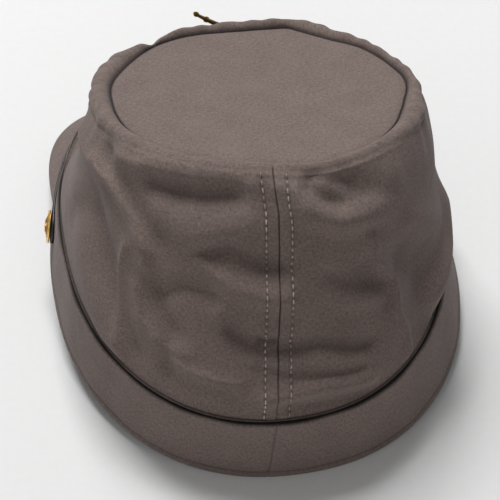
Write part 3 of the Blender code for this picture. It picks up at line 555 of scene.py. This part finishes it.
def stitches(name, middles, ways, outs, material):
    """A row of stitches, each a short thread that dives into the cloth at both ends."""
    points = []
    faces = []
    for middle, way, out in zip(middles, ways, outs):
        first = len(points)
        across = np.cross(out, way)
        for ring in range(STITCH_RINGS):
            share = ring / (STITCH_RINGS - 1)
            bow = math.sin(share * math.pi)
            centre = middle + way * STITCH_LENGTH * (share - 0.5) + out * THREAD_RADIUS * (1.6 * bow - 0.7)
            thick = THREAD_RADIUS * (0.45 + 0.55 * bow)
            for corner in range(THREAD_SIDES):
                turn = math.tau * corner / THREAD_SIDES
                points.append(centre + (across * math.cos(turn) + out * math.sin(turn)) * thick)
        for ring in range(STITCH_RINGS - 1):
            low = first + ring * THREAD_SIDES
            high = low + THREAD_SIDES
            for corner in range(THREAD_SIDES):
                beside = (corner + 1) % THREAD_SIDES
                faces.append((low + corner, low + beside, high + beside, high + corner))
    piece = make_piece(name, points, faces)
    piece.data.materials.append(material)
    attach(piece, "root")
    return piece


def sewing_thread(name, dark="#82776f", light="#b3a79f"):
    """Spun cotton sewing thread: dull, twisted and a shade paler than the cloth it holds."""
    material = bare_material(name)
    places = add_node(material, "TexCoord")
    fibre = add_node(material, "TexNoise", {"Vector": (places, "Object"), "Scale": 1800.0, "Detail": 2.0})
    uneven = add_node(material, "TexNoise", {"Vector": (places, "Object"), "Scale": 110.0, "Detail": 3.0})
    spread = add_node(material, "MapRange", {"Value": (uneven, 0), "From Min": 0.36, "From Max": 0.64})
    tone = add_node(material, "Mix", {"Factor": (spread, 0), "A": srgb(dark), "B": srgb(light)},
                    data_type="RGBA")
    bump = add_node(material, "Bump", {"Height": (fibre, 0), "Strength": 0.4, "Distance": 0.0002})
    shader = add_node(material, "BsdfPrincipled", {"Base Color": (tone, "Result"), "Normal": (bump, 0),
                                                   "Roughness": 0.8, "IOR": 1.47})
    add_node(material, "OutputMaterial", {"Surface": (shader, 0)})
    return material


def along_line(line, outs, pitch):
    """Middles, ways and outward directions of stitches set along a line of points."""
    places = np.concatenate(((0.0,), np.cumsum(np.linalg.norm(np.diff(line, axis=0), axis=-1))))
    marks = np.arange(pitch / 2.0, places[-1], pitch)

    def at(wanted, curve):
        return np.stack([np.interp(wanted, places, curve[:, axis]) for axis in range(3)], axis=-1)

    ways = at(marks + pitch / 3, line) - at(marks - pitch / 3, line)
    return at(marks, line), ways / np.linalg.norm(ways, axis=-1, keepdims=True), at(marks, outs)


pale_thread = sewing_thread("topstitch_cotton_thread")
for side_name, offset in (("left", -TOPSTITCH_OFFSET), ("right", TOPSTITCH_OFFSET)):
    line = line_up(wall, offset)[first_row:top_row]
    outs = line_up(wall_normals, offset)[first_row:top_row]
    middles, ways, facing = along_line(line, outs, STITCH_PITCH)
    drawn_in = np.interp(np.linspace(0.0, 1.0, len(middles)), *DRAWN_IN)
    stitches("back_seam_stitches_" + side_name, middles - facing * drawn_in[:, None], ways, facing, pale_thread)


# The crown tip

# The flat round top: a disc of the same cotton over a light stiffener, sewn all round to the rolled
# edge of the wall, a little below its crest.

TIP_DIP = 0.5
TIP_SLACK = 0.5
TIP_RINGS = 40
TIP_STATIONS = 160

tip_angles = np.linspace(0.0, math.tau, TIP_STATIONS, endpoint=False)
tip_shares = np.sin(np.linspace(0.004, 1.0, TIP_RINGS) * math.pi / 2.0)
tip_angle_grid, tip_share_grid = np.meshgrid(tip_angles, tip_shares)
tip_radius_grid = tip_share_grid * (TIP_RADIUS + rim(RIM_SEAMS, tip_angles) * tip_share_grid ** 4)
slack = np.sin(3 * tip_angle_grid + 1.0) * 0.35 + np.sin(5 * tip_angle_grid + 0.3) * 0.2
tip_rise = -TIP_DIP * smooth(tip_share_grid, 0.94, 1.0)
tip_rise += TIP_SLACK * slack * smooth(tip_share_grid, 0.55, 0.92)
tip_grid = tip_points(tip_angle_grid, tip_radius_grid, tip_rise)
tip_under = tip_points(tip_angle_grid[::-1], tip_radius_grid[::-1], -TIP_THICK)
tip_all = np.concatenate((tip_grid, tip_under))
tip_cloth = np.stack((tip_radius_grid * np.sin(tip_angle_grid), tip_radius_grid * np.cos(tip_angle_grid)), axis=-1)
# Painted shade: a thin dark line at the edge where the top is sewn to the roll, and the underside mixed 0.3 of the
# way to the crease colour
tip_shade = np.concatenate((0.95 * smooth(tip_share_grid, 0.984, 0.998), 0.3 * np.ones(tip_under.shape[:2])))
tip_faces = ring_faces(TIP_STATIONS, len(tip_all)).tolist()
tip_faces.append(list(range(TIP_STATIONS))[::-1])
tip_faces.append([(len(tip_all) - 1) * TIP_STATIONS + step for step in range(TIP_STATIONS)])
tip = make_piece("crown_tip_cloth", tip_all, tip_faces, np.concatenate((tip_cloth, tip_cloth[::-1])), tip_shade)
tip.data.materials.append(woven_cotton("crown_tip_cotton"))
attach(tip, "root")
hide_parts("crown_tip")


# The band

# A doubled strip of the same cotton round the head opening, folded at both edges and closed by a
# plain seam behind.  It stands just proud of the crown, which is sewn inside it.

BAND_ROUND = 0.9
BAND_SEAM_PATH = ((0.0, 1.0), (7.0, 4.0))
BAND_SEAM_DEG = (1.0, 11.0)
BAND_SEAM_STATIONS = 60
BAND_PLAIN_STATIONS = 580
BAND_HEM_HEIGHT = 3.8


def pressed_flat(points):
    """The points with those that would be under the ground pressed up to it."""
    sunk = np.minimum(to_world(points)[..., 2], 0.0) / MM
    return points - sunk[..., None] * lean_turn.T[:, 2]


seam_start, seam_end = np.radians(BAND_SEAM_DEG)
band_angles = np.concatenate((
    np.linspace(seam_start, seam_end, BAND_SEAM_STATIONS, endpoint=False),
    np.linspace(seam_end, seam_start + math.tau, BAND_PLAIN_STATIONS, endpoint=False)))
outer_heights = np.linspace(0.0, BAND_HEIGHT, 46)
past_round = np.clip(BAND_ROUND - np.minimum(outer_heights, BAND_HEIGHT - outer_heights), 0.0, None)
edge_inset = BAND_ROUND - np.sqrt(BAND_ROUND ** 2 - past_round ** 2)
band_profile = [(height, -inset) for height, inset in zip(outer_heights, edge_inset)]
band_profile += [(height, -BAND_THICK) for height in np.linspace(BAND_HEIGHT, 0.0, 10)]
profile_heights = np.array([height for height, outward in band_profile])
profile_outs = np.array([outward for height, outward in band_profile])
band_angle_grid, band_height_grid = np.meshgrid(band_angles, profile_heights)
band_out_grid = np.broadcast_to(profile_outs[:, None], band_angle_grid.shape)
band_plain = band_points(band_angle_grid, band_height_grid, band_out_grid)
outside = (np.arange(len(band_profile)) < len(outer_heights))[:, None] * 1.0
band_steps = np.linalg.norm(band_plain - np.roll(band_plain, 1, axis=1), axis=-1)
band_steps[:, 0] = 0.0
band_places = np.cumsum(band_steps, axis=1)
band_seam = np.array([np.interp(np.radians(np.interp(height / BAND_HEIGHT, *BAND_SEAM_PATH)), band_angles, places)
                      for height, places in zip(profile_heights, band_places)])
from_band_seam = band_places - band_seam[:, None]
band_join = np.exp(-(from_band_seam / 0.28) ** 2) * outside
band_hem = np.exp(-((band_height_grid - BAND_HEM_HEIGHT) / 0.45) ** 2) * outside
band_lip = np.exp(-((band_height_grid - BAND_HEM_HEIGHT + 1.6) / 0.8) ** 2) * outside
band_wave = (0.22 * np.sin(11 * band_angle_grid + 0.6) + 0.16 * np.sin(23 * band_angle_grid + 2.0)) * outside
band_wave *= smooth(band_height_grid, 0.0, 8.0)
band_grid = band_points(band_angle_grid, band_height_grid,
                        band_out_grid - 0.45 * band_join - 0.5 * band_hem + 0.45 * band_lip + band_wave)
band_grid = pressed_flat(band_grid)
band_round = band_places[:, -1] + band_steps[:, 1:].mean(axis=1)
band_share = from_band_seam / band_round[:, None]
band_share -= np.round(band_share)
band_cut = (band_round[0], band_round[len(outer_heights) - 1], BAND_HEIGHT)
band_cloth = cut_flat(band_share, band_height_grid, *band_cut)
band_carried_on = cut_flat(band_share + (band_share < 0.0), band_height_grid, *band_cut)
# Painted shade: darker along the back seam, the hem line and the band's top edge next to the crown, and fully dark
# on the inner face
band_shade = 0.3 * band_join + 0.5 * band_hem + smooth(band_height_grid, BAND_HEIGHT - 0.5, BAND_HEIGHT)
band_shade = np.clip(band_shade + 1.0 - outside, 0.0, 1.0)
band_faces = ring_faces(len(band_angles), len(band_profile) + 1)
band_faces = band_faces % (len(band_angles) * len(band_profile))
band = make_piece("band_cloth_strip", band_grid, band_faces, band_cloth, band_shade, band_carried_on)
band.data.materials.append(woven_cotton("band_cotton"))
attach(band, "root")
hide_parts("band")


# The peak

# A squared shade of pressed board covered in the same cotton, sewn under the front of the band and
# stitched once round near its edge.

PEAK_HALF_DEG = 65.25
PEAK_THICK = 3.0
PEAK_ROOT_HEIGHT = 3.0
PEAK_HALF_WIDTH = 80.4
PEAK_REACH = 124.0
PEAK_CORNER_Y = -43.0
PEAK_POWER = 3.5
PEAK_FALL = 0.31
PEAK_BOW = 2.0
PEAK_GAP = 0.4
PEAK_STITCH_INSET = 4.5
PEAK_DEPTH = 45.0
PEAK_COLUMNS = 221
PEAK_FACE_ROWS = 24
# Section of the peak's rounded edge: share of the way out, depth below the face
PEAK_EDGE = ((0.985, 0.25), (0.997, 0.8), (1.0, 1.5), (0.997, 2.2), (0.985, 2.75))

peak_turns = np.linspace(-1.0, 1.0, PEAK_COLUMNS)
peak_angles = math.pi + peak_turns * math.radians(PEAK_HALF_DEG)
bend = peak_turns * math.pi / 2.0
edge_across = np.sign(-bend) * np.abs(np.sin(bend)) ** (2.0 / PEAK_POWER)
edge_along = np.abs(np.cos(bend)) ** (2.0 / PEAK_POWER)
peak_edge = np.stack((PEAK_HALF_WIDTH * edge_across,
                      PEAK_CORNER_Y - (PEAK_REACH + PEAK_CORNER_Y) * edge_along, np.zeros_like(bend)), axis=-1)
peak_root = band_points(peak_angles, 0.0, PEAK_GAP)
peak_way = peak_edge - peak_root
peak_level = np.linalg.norm(peak_way, axis=-1)
peak_fall = PEAK_ROOT_HEIGHT + PEAK_FALL * (PEAK_CORNER_Y - peak_edge[:, 1])
peak_slant = np.arctan2(peak_fall, peak_level)


def peak_row(share, below):
    """A row of the peak from side to side, at a share of the way out and a depth below its face."""
    row = peak_root + peak_way * share
    row[:, 2] = PEAK_ROOT_HEIGHT - peak_fall * share + PEAK_BOW * 4.0 * share * (1.0 - share)
    down = np.stack((np.zeros_like(bend), np.zeros_like(bend), -1.0 / np.cos(peak_slant)), axis=-1)
    square = -(peak_way / peak_level[:, None] * np.sin(peak_slant)[:, None]
               + np.array((0.0, 0.0, 1.0)) * np.cos(peak_slant)[:, None])
    return row + (down * (1 - share) + square * share) * below


def bar_faces(rows, columns):
    """Faces of a bar whose section is a closed ring of rows, with a face at each end."""
    faces = []
    for row in range(rows):
        beyond = (row + 1) % rows
        for column in range(columns - 1):
            faces.append((row * columns + column, row * columns + column + 1,
                          beyond * columns + column + 1, beyond * columns + column))
    faces.append([row * columns for row in range(rows)])
    faces.append([row * columns + columns - 1 for row in reversed(range(rows))])
    return faces


peak_profile = [(share, 0.0) for share in np.linspace(0.0, 0.97, PEAK_FACE_ROWS)]
peak_profile += PEAK_EDGE
peak_profile += [(share, PEAK_THICK) for share in np.linspace(0.97, 0.0, PEAK_FACE_ROWS)]
peak_grid = np.stack([peak_row(share, below) for share, below in peak_profile])
stitch_line_share = 1.0 - PEAK_STITCH_INSET / PEAK_DEPTH
stitch_dip = np.array([math.exp(-((share - stitch_line_share) / 0.012) ** 2) for share, below in peak_profile])
stitch_dip[PEAK_FACE_ROWS + len(PEAK_EDGE):] = 0.0
peak_grid[:, :, 2] -= 0.3 * stitch_dip[:, None]
peak_grid = pressed_flat(peak_grid)
# Painted shade: the groove of the stitch line round the peak is darkened a little towards the crease colour
peak_shade = np.broadcast_to(0.35 * stitch_dip[:, None], peak_grid.shape[:2])
peak = make_piece("peak_cloth_cover", peak_grid, bar_faces(*peak_grid.shape[:2]), peak_grid[..., :2], peak_shade)
peak.data.materials.append(woven_cotton("peak_cotton"))
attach(peak, "root")
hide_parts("peak")


# The chin strap

# One strip of smooth black cowhide over the front of the band, rounded at its ends and held at each
# side by a button.  Its edges are bevelled and its face has an old wax shine.

STRAP_WIDTH = 14.0
STRAP_THICK = 1.1
STRAP_GAP = 0.3
STRAP_SIDE_HEIGHT = 17.5
STRAP_FRONT_HEIGHT = 14.0
STRAP_TAIL = 6.4
STRAP_BOW = 1.6
STRAP_COLUMNS = 200
BUTTON_ANGLE_DEG = 102.0


def strap_height(angle):
    """Height of the strap's middle line above the band's lower edge."""
    return STRAP_SIDE_HEIGHT + (STRAP_FRONT_HEIGHT - STRAP_SIDE_HEIGHT) * np.cos(angle) ** 2


def strap_stand(angle):
    """How far the strap stands off the band between a button and the front."""
    share = (np.degrees(angle) - BUTTON_ANGLE_DEG) / (180.0 - BUTTON_ANGLE_DEG)
    share = np.clip(np.where(share < 1.0, share, 2.0 - share), 0.0, 1.0)
    return STRAP_GAP + STRAP_BOW * np.sin(math.pi * share) ** 2


tail_turn = STRAP_TAIL / LOW_OVAL["width"]
button_turn = math.radians(BUTTON_ANGLE_DEG)
tail_shares = np.sin(np.linspace(0.0, math.pi / 2.0, 14)[:-1])
tail_angles = button_turn - tail_turn * (1.0 - tail_shares)
tail_halves = STRAP_WIDTH / 2.0 * np.maximum(np.sqrt(1.0 - (1.0 - tail_shares) ** 2), 0.16)
strap_angles = np.concatenate((tail_angles, np.linspace(button_turn, math.tau - button_turn, STRAP_COLUMNS),
                               math.tau - tail_angles[::-1]))
strap_halves = np.concatenate((tail_halves, np.full(STRAP_COLUMNS, STRAP_WIDTH / 2.0), tail_halves[::-1]))
# Corners of the strap's section: share of its half width, share of its thickness
STRAP_SECTION = (
    (-0.97, 0.0), (0.97, 0.0), (1.0, 0.25), (1.0, 0.6), (0.95, 0.92), (0.86, 1.0), (0.8, 0.93), (0.74, 1.0),
    (0.3, 1.05), (0.0, 1.06), (-0.3, 1.05), (-0.74, 1.0), (-0.8, 0.93), (-0.86, 1.0), (-0.95, 0.92), (-1.0, 0.6),
    (-1.0, 0.25),
)
strap_grid = np.stack([
    band_points(strap_angles, strap_height(strap_angles) + strap_halves * across,
                strap_stand(strap_angles) + STRAP_THICK * deep) for across, deep in STRAP_SECTION])
strap_faces = [face[::-1] for face in bar_faces(*strap_grid.shape[:2])]
strap = make_piece("chin_strap_leather", strap_grid, strap_faces)


def waxed_cowhide(name):
    """Vegetable-tanned cowhide, dyed black and waxed: a near-black face with a soft shine, broken by
    the fine pebble of the grain, about 0.8 mm across, and by small scuffs that go grey."""
    material = bare_material(name)
    places = add_node(material, "TexCoord")
    pebble = add_node(material, "TexVoronoi", {"Vector": (places, "Object"), "Scale": 1250.0})
    scuff = add_node(material, "TexNoise", {"Vector": (places, "Object"), "Scale": 90.0, "Detail": 5.0})
    worn = add_node(material, "MapRange", {"Value": (scuff, 0), "From Min": 0.58, "From Max": 0.75})
    tone = add_node(material, "Mix", {"Factor": (worn, 0), "A": srgb("#141211"), "B": srgb("#37312e")},
                    data_type="RGBA")
    dull = add_node(material, "MapRange", {"Value": (scuff, 0), "From Min": 0.3, "From Max": 0.7,
                                           "To Min": 0.26, "To Max": 0.46})
    bump = add_node(material, "Bump", {"Height": (pebble, 0), "Strength": 0.25, "Distance": 0.0002})
    shader = add_node(material, "BsdfPrincipled", {"Base Color": (tone, "Result"), "Roughness": (dull, 0),
                                                   "Normal": (bump, 0), "IOR": 1.5})
    add_node(material, "OutputMaterial", {"Surface": (shader, 0)})
    return material


strap.data.materials.append(waxed_cowhide("strap_waxed_cowhide"))
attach(strap, "root")
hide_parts("chin_strap")


# The side buttons

# Two small domed buttons of stamped brass sheet, one at each side of the cap.  Each has a corded rim
# and a raised sprig in the middle, and a shank behind that goes through the strap and the band.

BUTTON_RADIUS = 7.1
BUTTON_HEIGHT = 2.3
SHANK_RADIUS = 1.6
BUTTON_CORDS = 40
BUTTON_LEAVES = 5
BUTTON_RINGS = 46
BUTTON_STATIONS = 96


def stamped_brass(name, bright="#ffd980", deep="#8a5a1c"):
    """Stamped brass sheet, lacquered: warm yellow metal, polished on the raised parts, with dull brown
    tarnish left down in the relief."""
    material = bare_material(name)
    relief = add_node(material, "Attribute", attribute_name="shade")
    places = add_node(material, "TexCoord")
    spots = add_node(material, "TexNoise", {"Vector": (places, "Object"), "Scale": 900.0, "Detail": 4.0})
    spread = add_node(material, "Math", {0: (spots, 0), 1: 0.35, 2: (relief, "Fac")}, operation="MULTIPLY_ADD")
    tarnish = add_node(material, "MapRange", {"Value": (spread, 0), "From Min": 0.35, "From Max": 0.95})
    tone = add_node(material, "Mix", {"Factor": (tarnish, 0), "A": srgb(bright), "B": srgb(deep)},
                    data_type="RGBA")
    dull = add_node(material, "MapRange", {"Value": (tarnish, 0), "To Min": 0.22, "To Max": 0.55})
    shader = add_node(material, "BsdfPrincipled", {"Base Color": (tone, "Result"), "Roughness": (dull, 0),
                                                   "Metallic": 1.0})
    add_node(material, "OutputMaterial", {"Surface": (shader, 0)})
    return material


def button_dome(radius):
    """Height of the button's plain dome over its back, in millimetres."""
    return 0.25 + 0.72 * BUTTON_HEIGHT * np.clip(1.0 - (radius / BUTTON_RADIUS / 0.86) ** 2, 0.0, 1.0) ** 0.8


def button_relief(radius, turn):
    """Height of the corded rim, the sprig and the ring over the dome, in millimetres."""
    share = radius / BUTTON_RADIUS
    cord = 0.75 * np.exp(-((share - 0.93) / 0.055) ** 2) * (1.0 + 0.25 * np.sin(BUTTON_CORDS * turn))
    leaves = np.clip(np.cos(BUTTON_LEAVES * turn + 0.4), 0.0, 1.0) ** 1.2 * np.exp(-((share - 0.36) / 0.2) ** 2)
    heart = 0.5 * np.exp(-(share / 0.13) ** 2)
    ring = 0.25 * np.exp(-((share - 0.68) / 0.04) ** 2)
    return cord + 0.55 * leaves + heart + ring


for side_name, side_turn in (("left", button_turn), ("right", -button_turn)):
    middle_height = np.array(float(strap_height(side_turn)))
    here = np.array(side_turn)
    seat = band_points(here, middle_height)
    rising = band_points(here, middle_height + 1.0) - band_points(here, middle_height - 1.0)
    forward = band_points(here + 0.002, middle_height) - band_points(here - 0.002, middle_height)
    facing = np.cross(rising, forward)
    facing /= np.linalg.norm(facing)
    level = np.cross((0.0, 0.0, 1.0), facing)
    level /= np.linalg.norm(level)
    uphill = np.cross(facing, level)
    seat = seat + facing * (STRAP_GAP + STRAP_THICK + SEAM_GAP)
    ring_radii = np.linspace(0.02, BUTTON_RADIUS, BUTTON_RINGS)
    ring_turns = np.linspace(0.0, math.tau, BUTTON_STATIONS, endpoint=False)
    turn_grid, radius_grid = np.meshgrid(ring_turns, ring_radii)
    relief = button_relief(radius_grid, turn_grid)
    low_part = np.clip(1.0 - relief / 0.45, 0.0, 1.0)
    back_radii = np.array((BUTTON_RADIUS * 0.99, BUTTON_RADIUS * 0.9, SHANK_RADIUS, SHANK_RADIUS, 0.02))
    back_rises = np.array((0.1, 0.0, 0.0, -1.2, -1.2))
    back_turns, back_radius_grid = np.meshgrid(ring_turns, back_radii)
    radius_all = np.concatenate((radius_grid, back_radius_grid))
    turn_all = np.concatenate((turn_grid, back_turns))
    back_rise_grid = np.broadcast_to(back_rises[:, None], back_turns.shape)
    rise_all = np.concatenate((button_dome(radius_grid) + relief, back_rise_grid))
    shade_all = np.concatenate((low_part, np.full(back_turns.shape, 0.6)))
    button_grid = seat + level * (radius_all * np.cos(turn_all))[..., None] \
        + uphill * (radius_all * np.sin(turn_all))[..., None] + facing * rise_all[..., None]
    node = "button_" + side_name
    button = make_piece(node + "_stamping", button_grid, ring_faces(BUTTON_STATIONS, len(radius_all))[:, ::-1],
                        None, shade_all)
    button.data.materials.append(stamped_brass(node + "_stamped_brass"))
    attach(button, "root")
    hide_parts(node)


# The crossed sabres

# A small badge of cast brass with a dark antique finish, two sheathed sabres crossed, pinned on the
# front of the crown.  The cast shape is the frame's own; only its surface is dressed.

def antique_cast_brass(name):
    """Cast brass dipped in a darkening solution and rubbed back: brown black in the hollows, with dull
    gold on the parts that stand out, and the fine pitting of a sand mould."""
    material = bare_material(name)
    shape = add_node(material, "NewGeometry")
    places = add_node(material, "TexCoord")
    pits = add_node(material, "TexNoise", {"Vector": (places, "Object"), "Scale": 700.0, "Detail": 5.0})
    join_shade_and_brass_wear = add_node(material, "Math", {0: (shape, "Pointiness"), 1: 6.0, 2: (pits, 0)}, operation="MULTIPLY_ADD")
    worn = add_node(material, "MapRange", {"Value": (join_shade_and_brass_wear, 0), "From Min": 3.45, "From Max": 3.9})
    tone = add_node(material, "Mix", {"Factor": (worn, 0), "A": srgb("#1d140a"), "B": srgb("#7d5c26")},
                    data_type="RGBA")
    bump = add_node(material, "Bump", {"Height": (pits, 0), "Strength": 0.3, "Distance": 0.0003})
    shader = add_node(material, "BsdfPrincipled", {"Base Color": (tone, "Result"), "Roughness": 0.42,
                                                   "Metallic": 1.0, "Normal": (bump, 0)})
    add_node(material, "OutputMaterial", {"Surface": (shader, 0)})
    return material


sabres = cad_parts["crossed_sabres"]
sabres.data.materials.clear()
sabres.data.materials.append(antique_cast_brass("badge_antique_cast_brass"))


# Floor, light and camera

# A pale painted studio floor under a wide soft light from above and in front of the cap, with two
# weak soft fills: one from the wearer's left and one from the camera's side, behind the cap.

FLOOR_SIZE = 6.0

floor_mesh = bpy.data.meshes.new("studio_floor")
half = FLOOR_SIZE / 2.0
floor_mesh.from_pydata([(-half, -half, 0.0), (half, -half, 0.0), (half, half, 0.0), (-half, half, 0.0)], [],
                       [(0, 1, 2, 3)])
floor = bpy.data.objects.new("studio_floor", floor_mesh)
bpy.context.scene.collection.objects.link(floor)


def painted_floor(name):
    """Matt white studio paint with a very faint roller texture."""
    material = bare_material(name)
    places = add_node(material, "TexCoord")
    roller = add_node(material, "TexNoise", {"Vector": (places, "Object"), "Scale": 300.0, "Detail": 3.0})
    tone = add_node(material, "Mix", {"Factor": (roller, 0), "A": srgb("#d8d8d8"), "B": srgb("#dddddd")},
                    data_type="RGBA")
    shader = add_node(material, "BsdfPrincipled", {"Base Color": (tone, "Result"), "Roughness": 0.9})
    add_node(material, "OutputMaterial", {"Surface": (shader, 0)})
    return material


floor_mesh.materials.append(painted_floor("matt_white_paint"))


def soft_light(name, place, size, watts, target=(0.0, 0.0, 0.06)):
    """A square soft light at a place, facing the cap."""
    lamp = bpy.data.lights.new(name, "AREA")
    lamp.shape = "SQUARE"
    lamp.size = size
    lamp.energy = watts
    light = bpy.data.objects.new(name, lamp)
    light.location = place
    light.rotation_euler = (Vector(target) - Vector(place)).to_track_quat("-Z", "Y").to_euler()
    bpy.context.scene.collection.objects.link(light)


soft_light("overhead_softbox", (0.20, -0.85, 1.82), 0.9, 44.0)
soft_light("left_fill", (1.5, 0.2, 0.9), 1.0, 1.5)
soft_light("camera_fill", (0.2, 1.6, 0.65), 1.4, 5.0)

world = bpy.data.worlds.new("studio")
world.use_nodes = True
world.node_tree.nodes["Background"].inputs["Color"].default_value = (1.0, 1.0, 1.0, 1.0)
world.node_tree.nodes["Background"].inputs["Strength"].default_value = 0.22
bpy.context.scene.world = world
bpy.context.scene.view_settings.view_transform = "Standard"

# The camera looks from behind and above, a little to the wearer's left
CAMERA_AZIMUTH_DEG = 167.15
CAMERA_ELEVATION_DEG = 52.9
CAMERA_ROLL_DEG = 3.5
CAMERA_DISTANCE = 900.0
CAMERA_ASIDE = -1.70
CAMERA_ABOVE = 8.48
FOCAL_PIXELS = 2109.0
PHOTO_PIXELS = 500.0
SENSOR = 36.0

azimuth = math.radians(CAMERA_AZIMUTH_DEG)
elevation = math.radians(CAMERA_ELEVATION_DEG)
back = Vector((math.sin(azimuth) * math.cos(elevation), -math.cos(azimuth) * math.cos(elevation),
               math.sin(elevation)))
right = (-back).cross(Vector((0.0, 0.0, 1.0))).normalized()
up = right.cross(-back)
roll = math.radians(CAMERA_ROLL_DEG)
right, up = right * math.cos(roll) + up * math.sin(roll), up * math.cos(roll) - right * math.sin(roll)
eye = back * CAMERA_DISTANCE + right * CAMERA_ASIDE + up * CAMERA_ABOVE
turned = Matrix((right, up, back)).transposed()
lens = bpy.data.cameras.new("photo_camera")
lens.sensor_width = SENSOR
lens.lens = FOCAL_PIXELS * SENSOR / PHOTO_PIXELS
lens.clip_end = 20.0
camera = bpy.data.objects.new("photo_camera", lens)
lean = Matrix([list(row) for row in lean_turn])
camera.matrix_world = Matrix.Translation(Vector(to_world(np.array(eye)))) @ (lean @ turned).to_4x4()
bpy.context.scene.collection.objects.link(camera)
bpy.context.scene.camera = camera
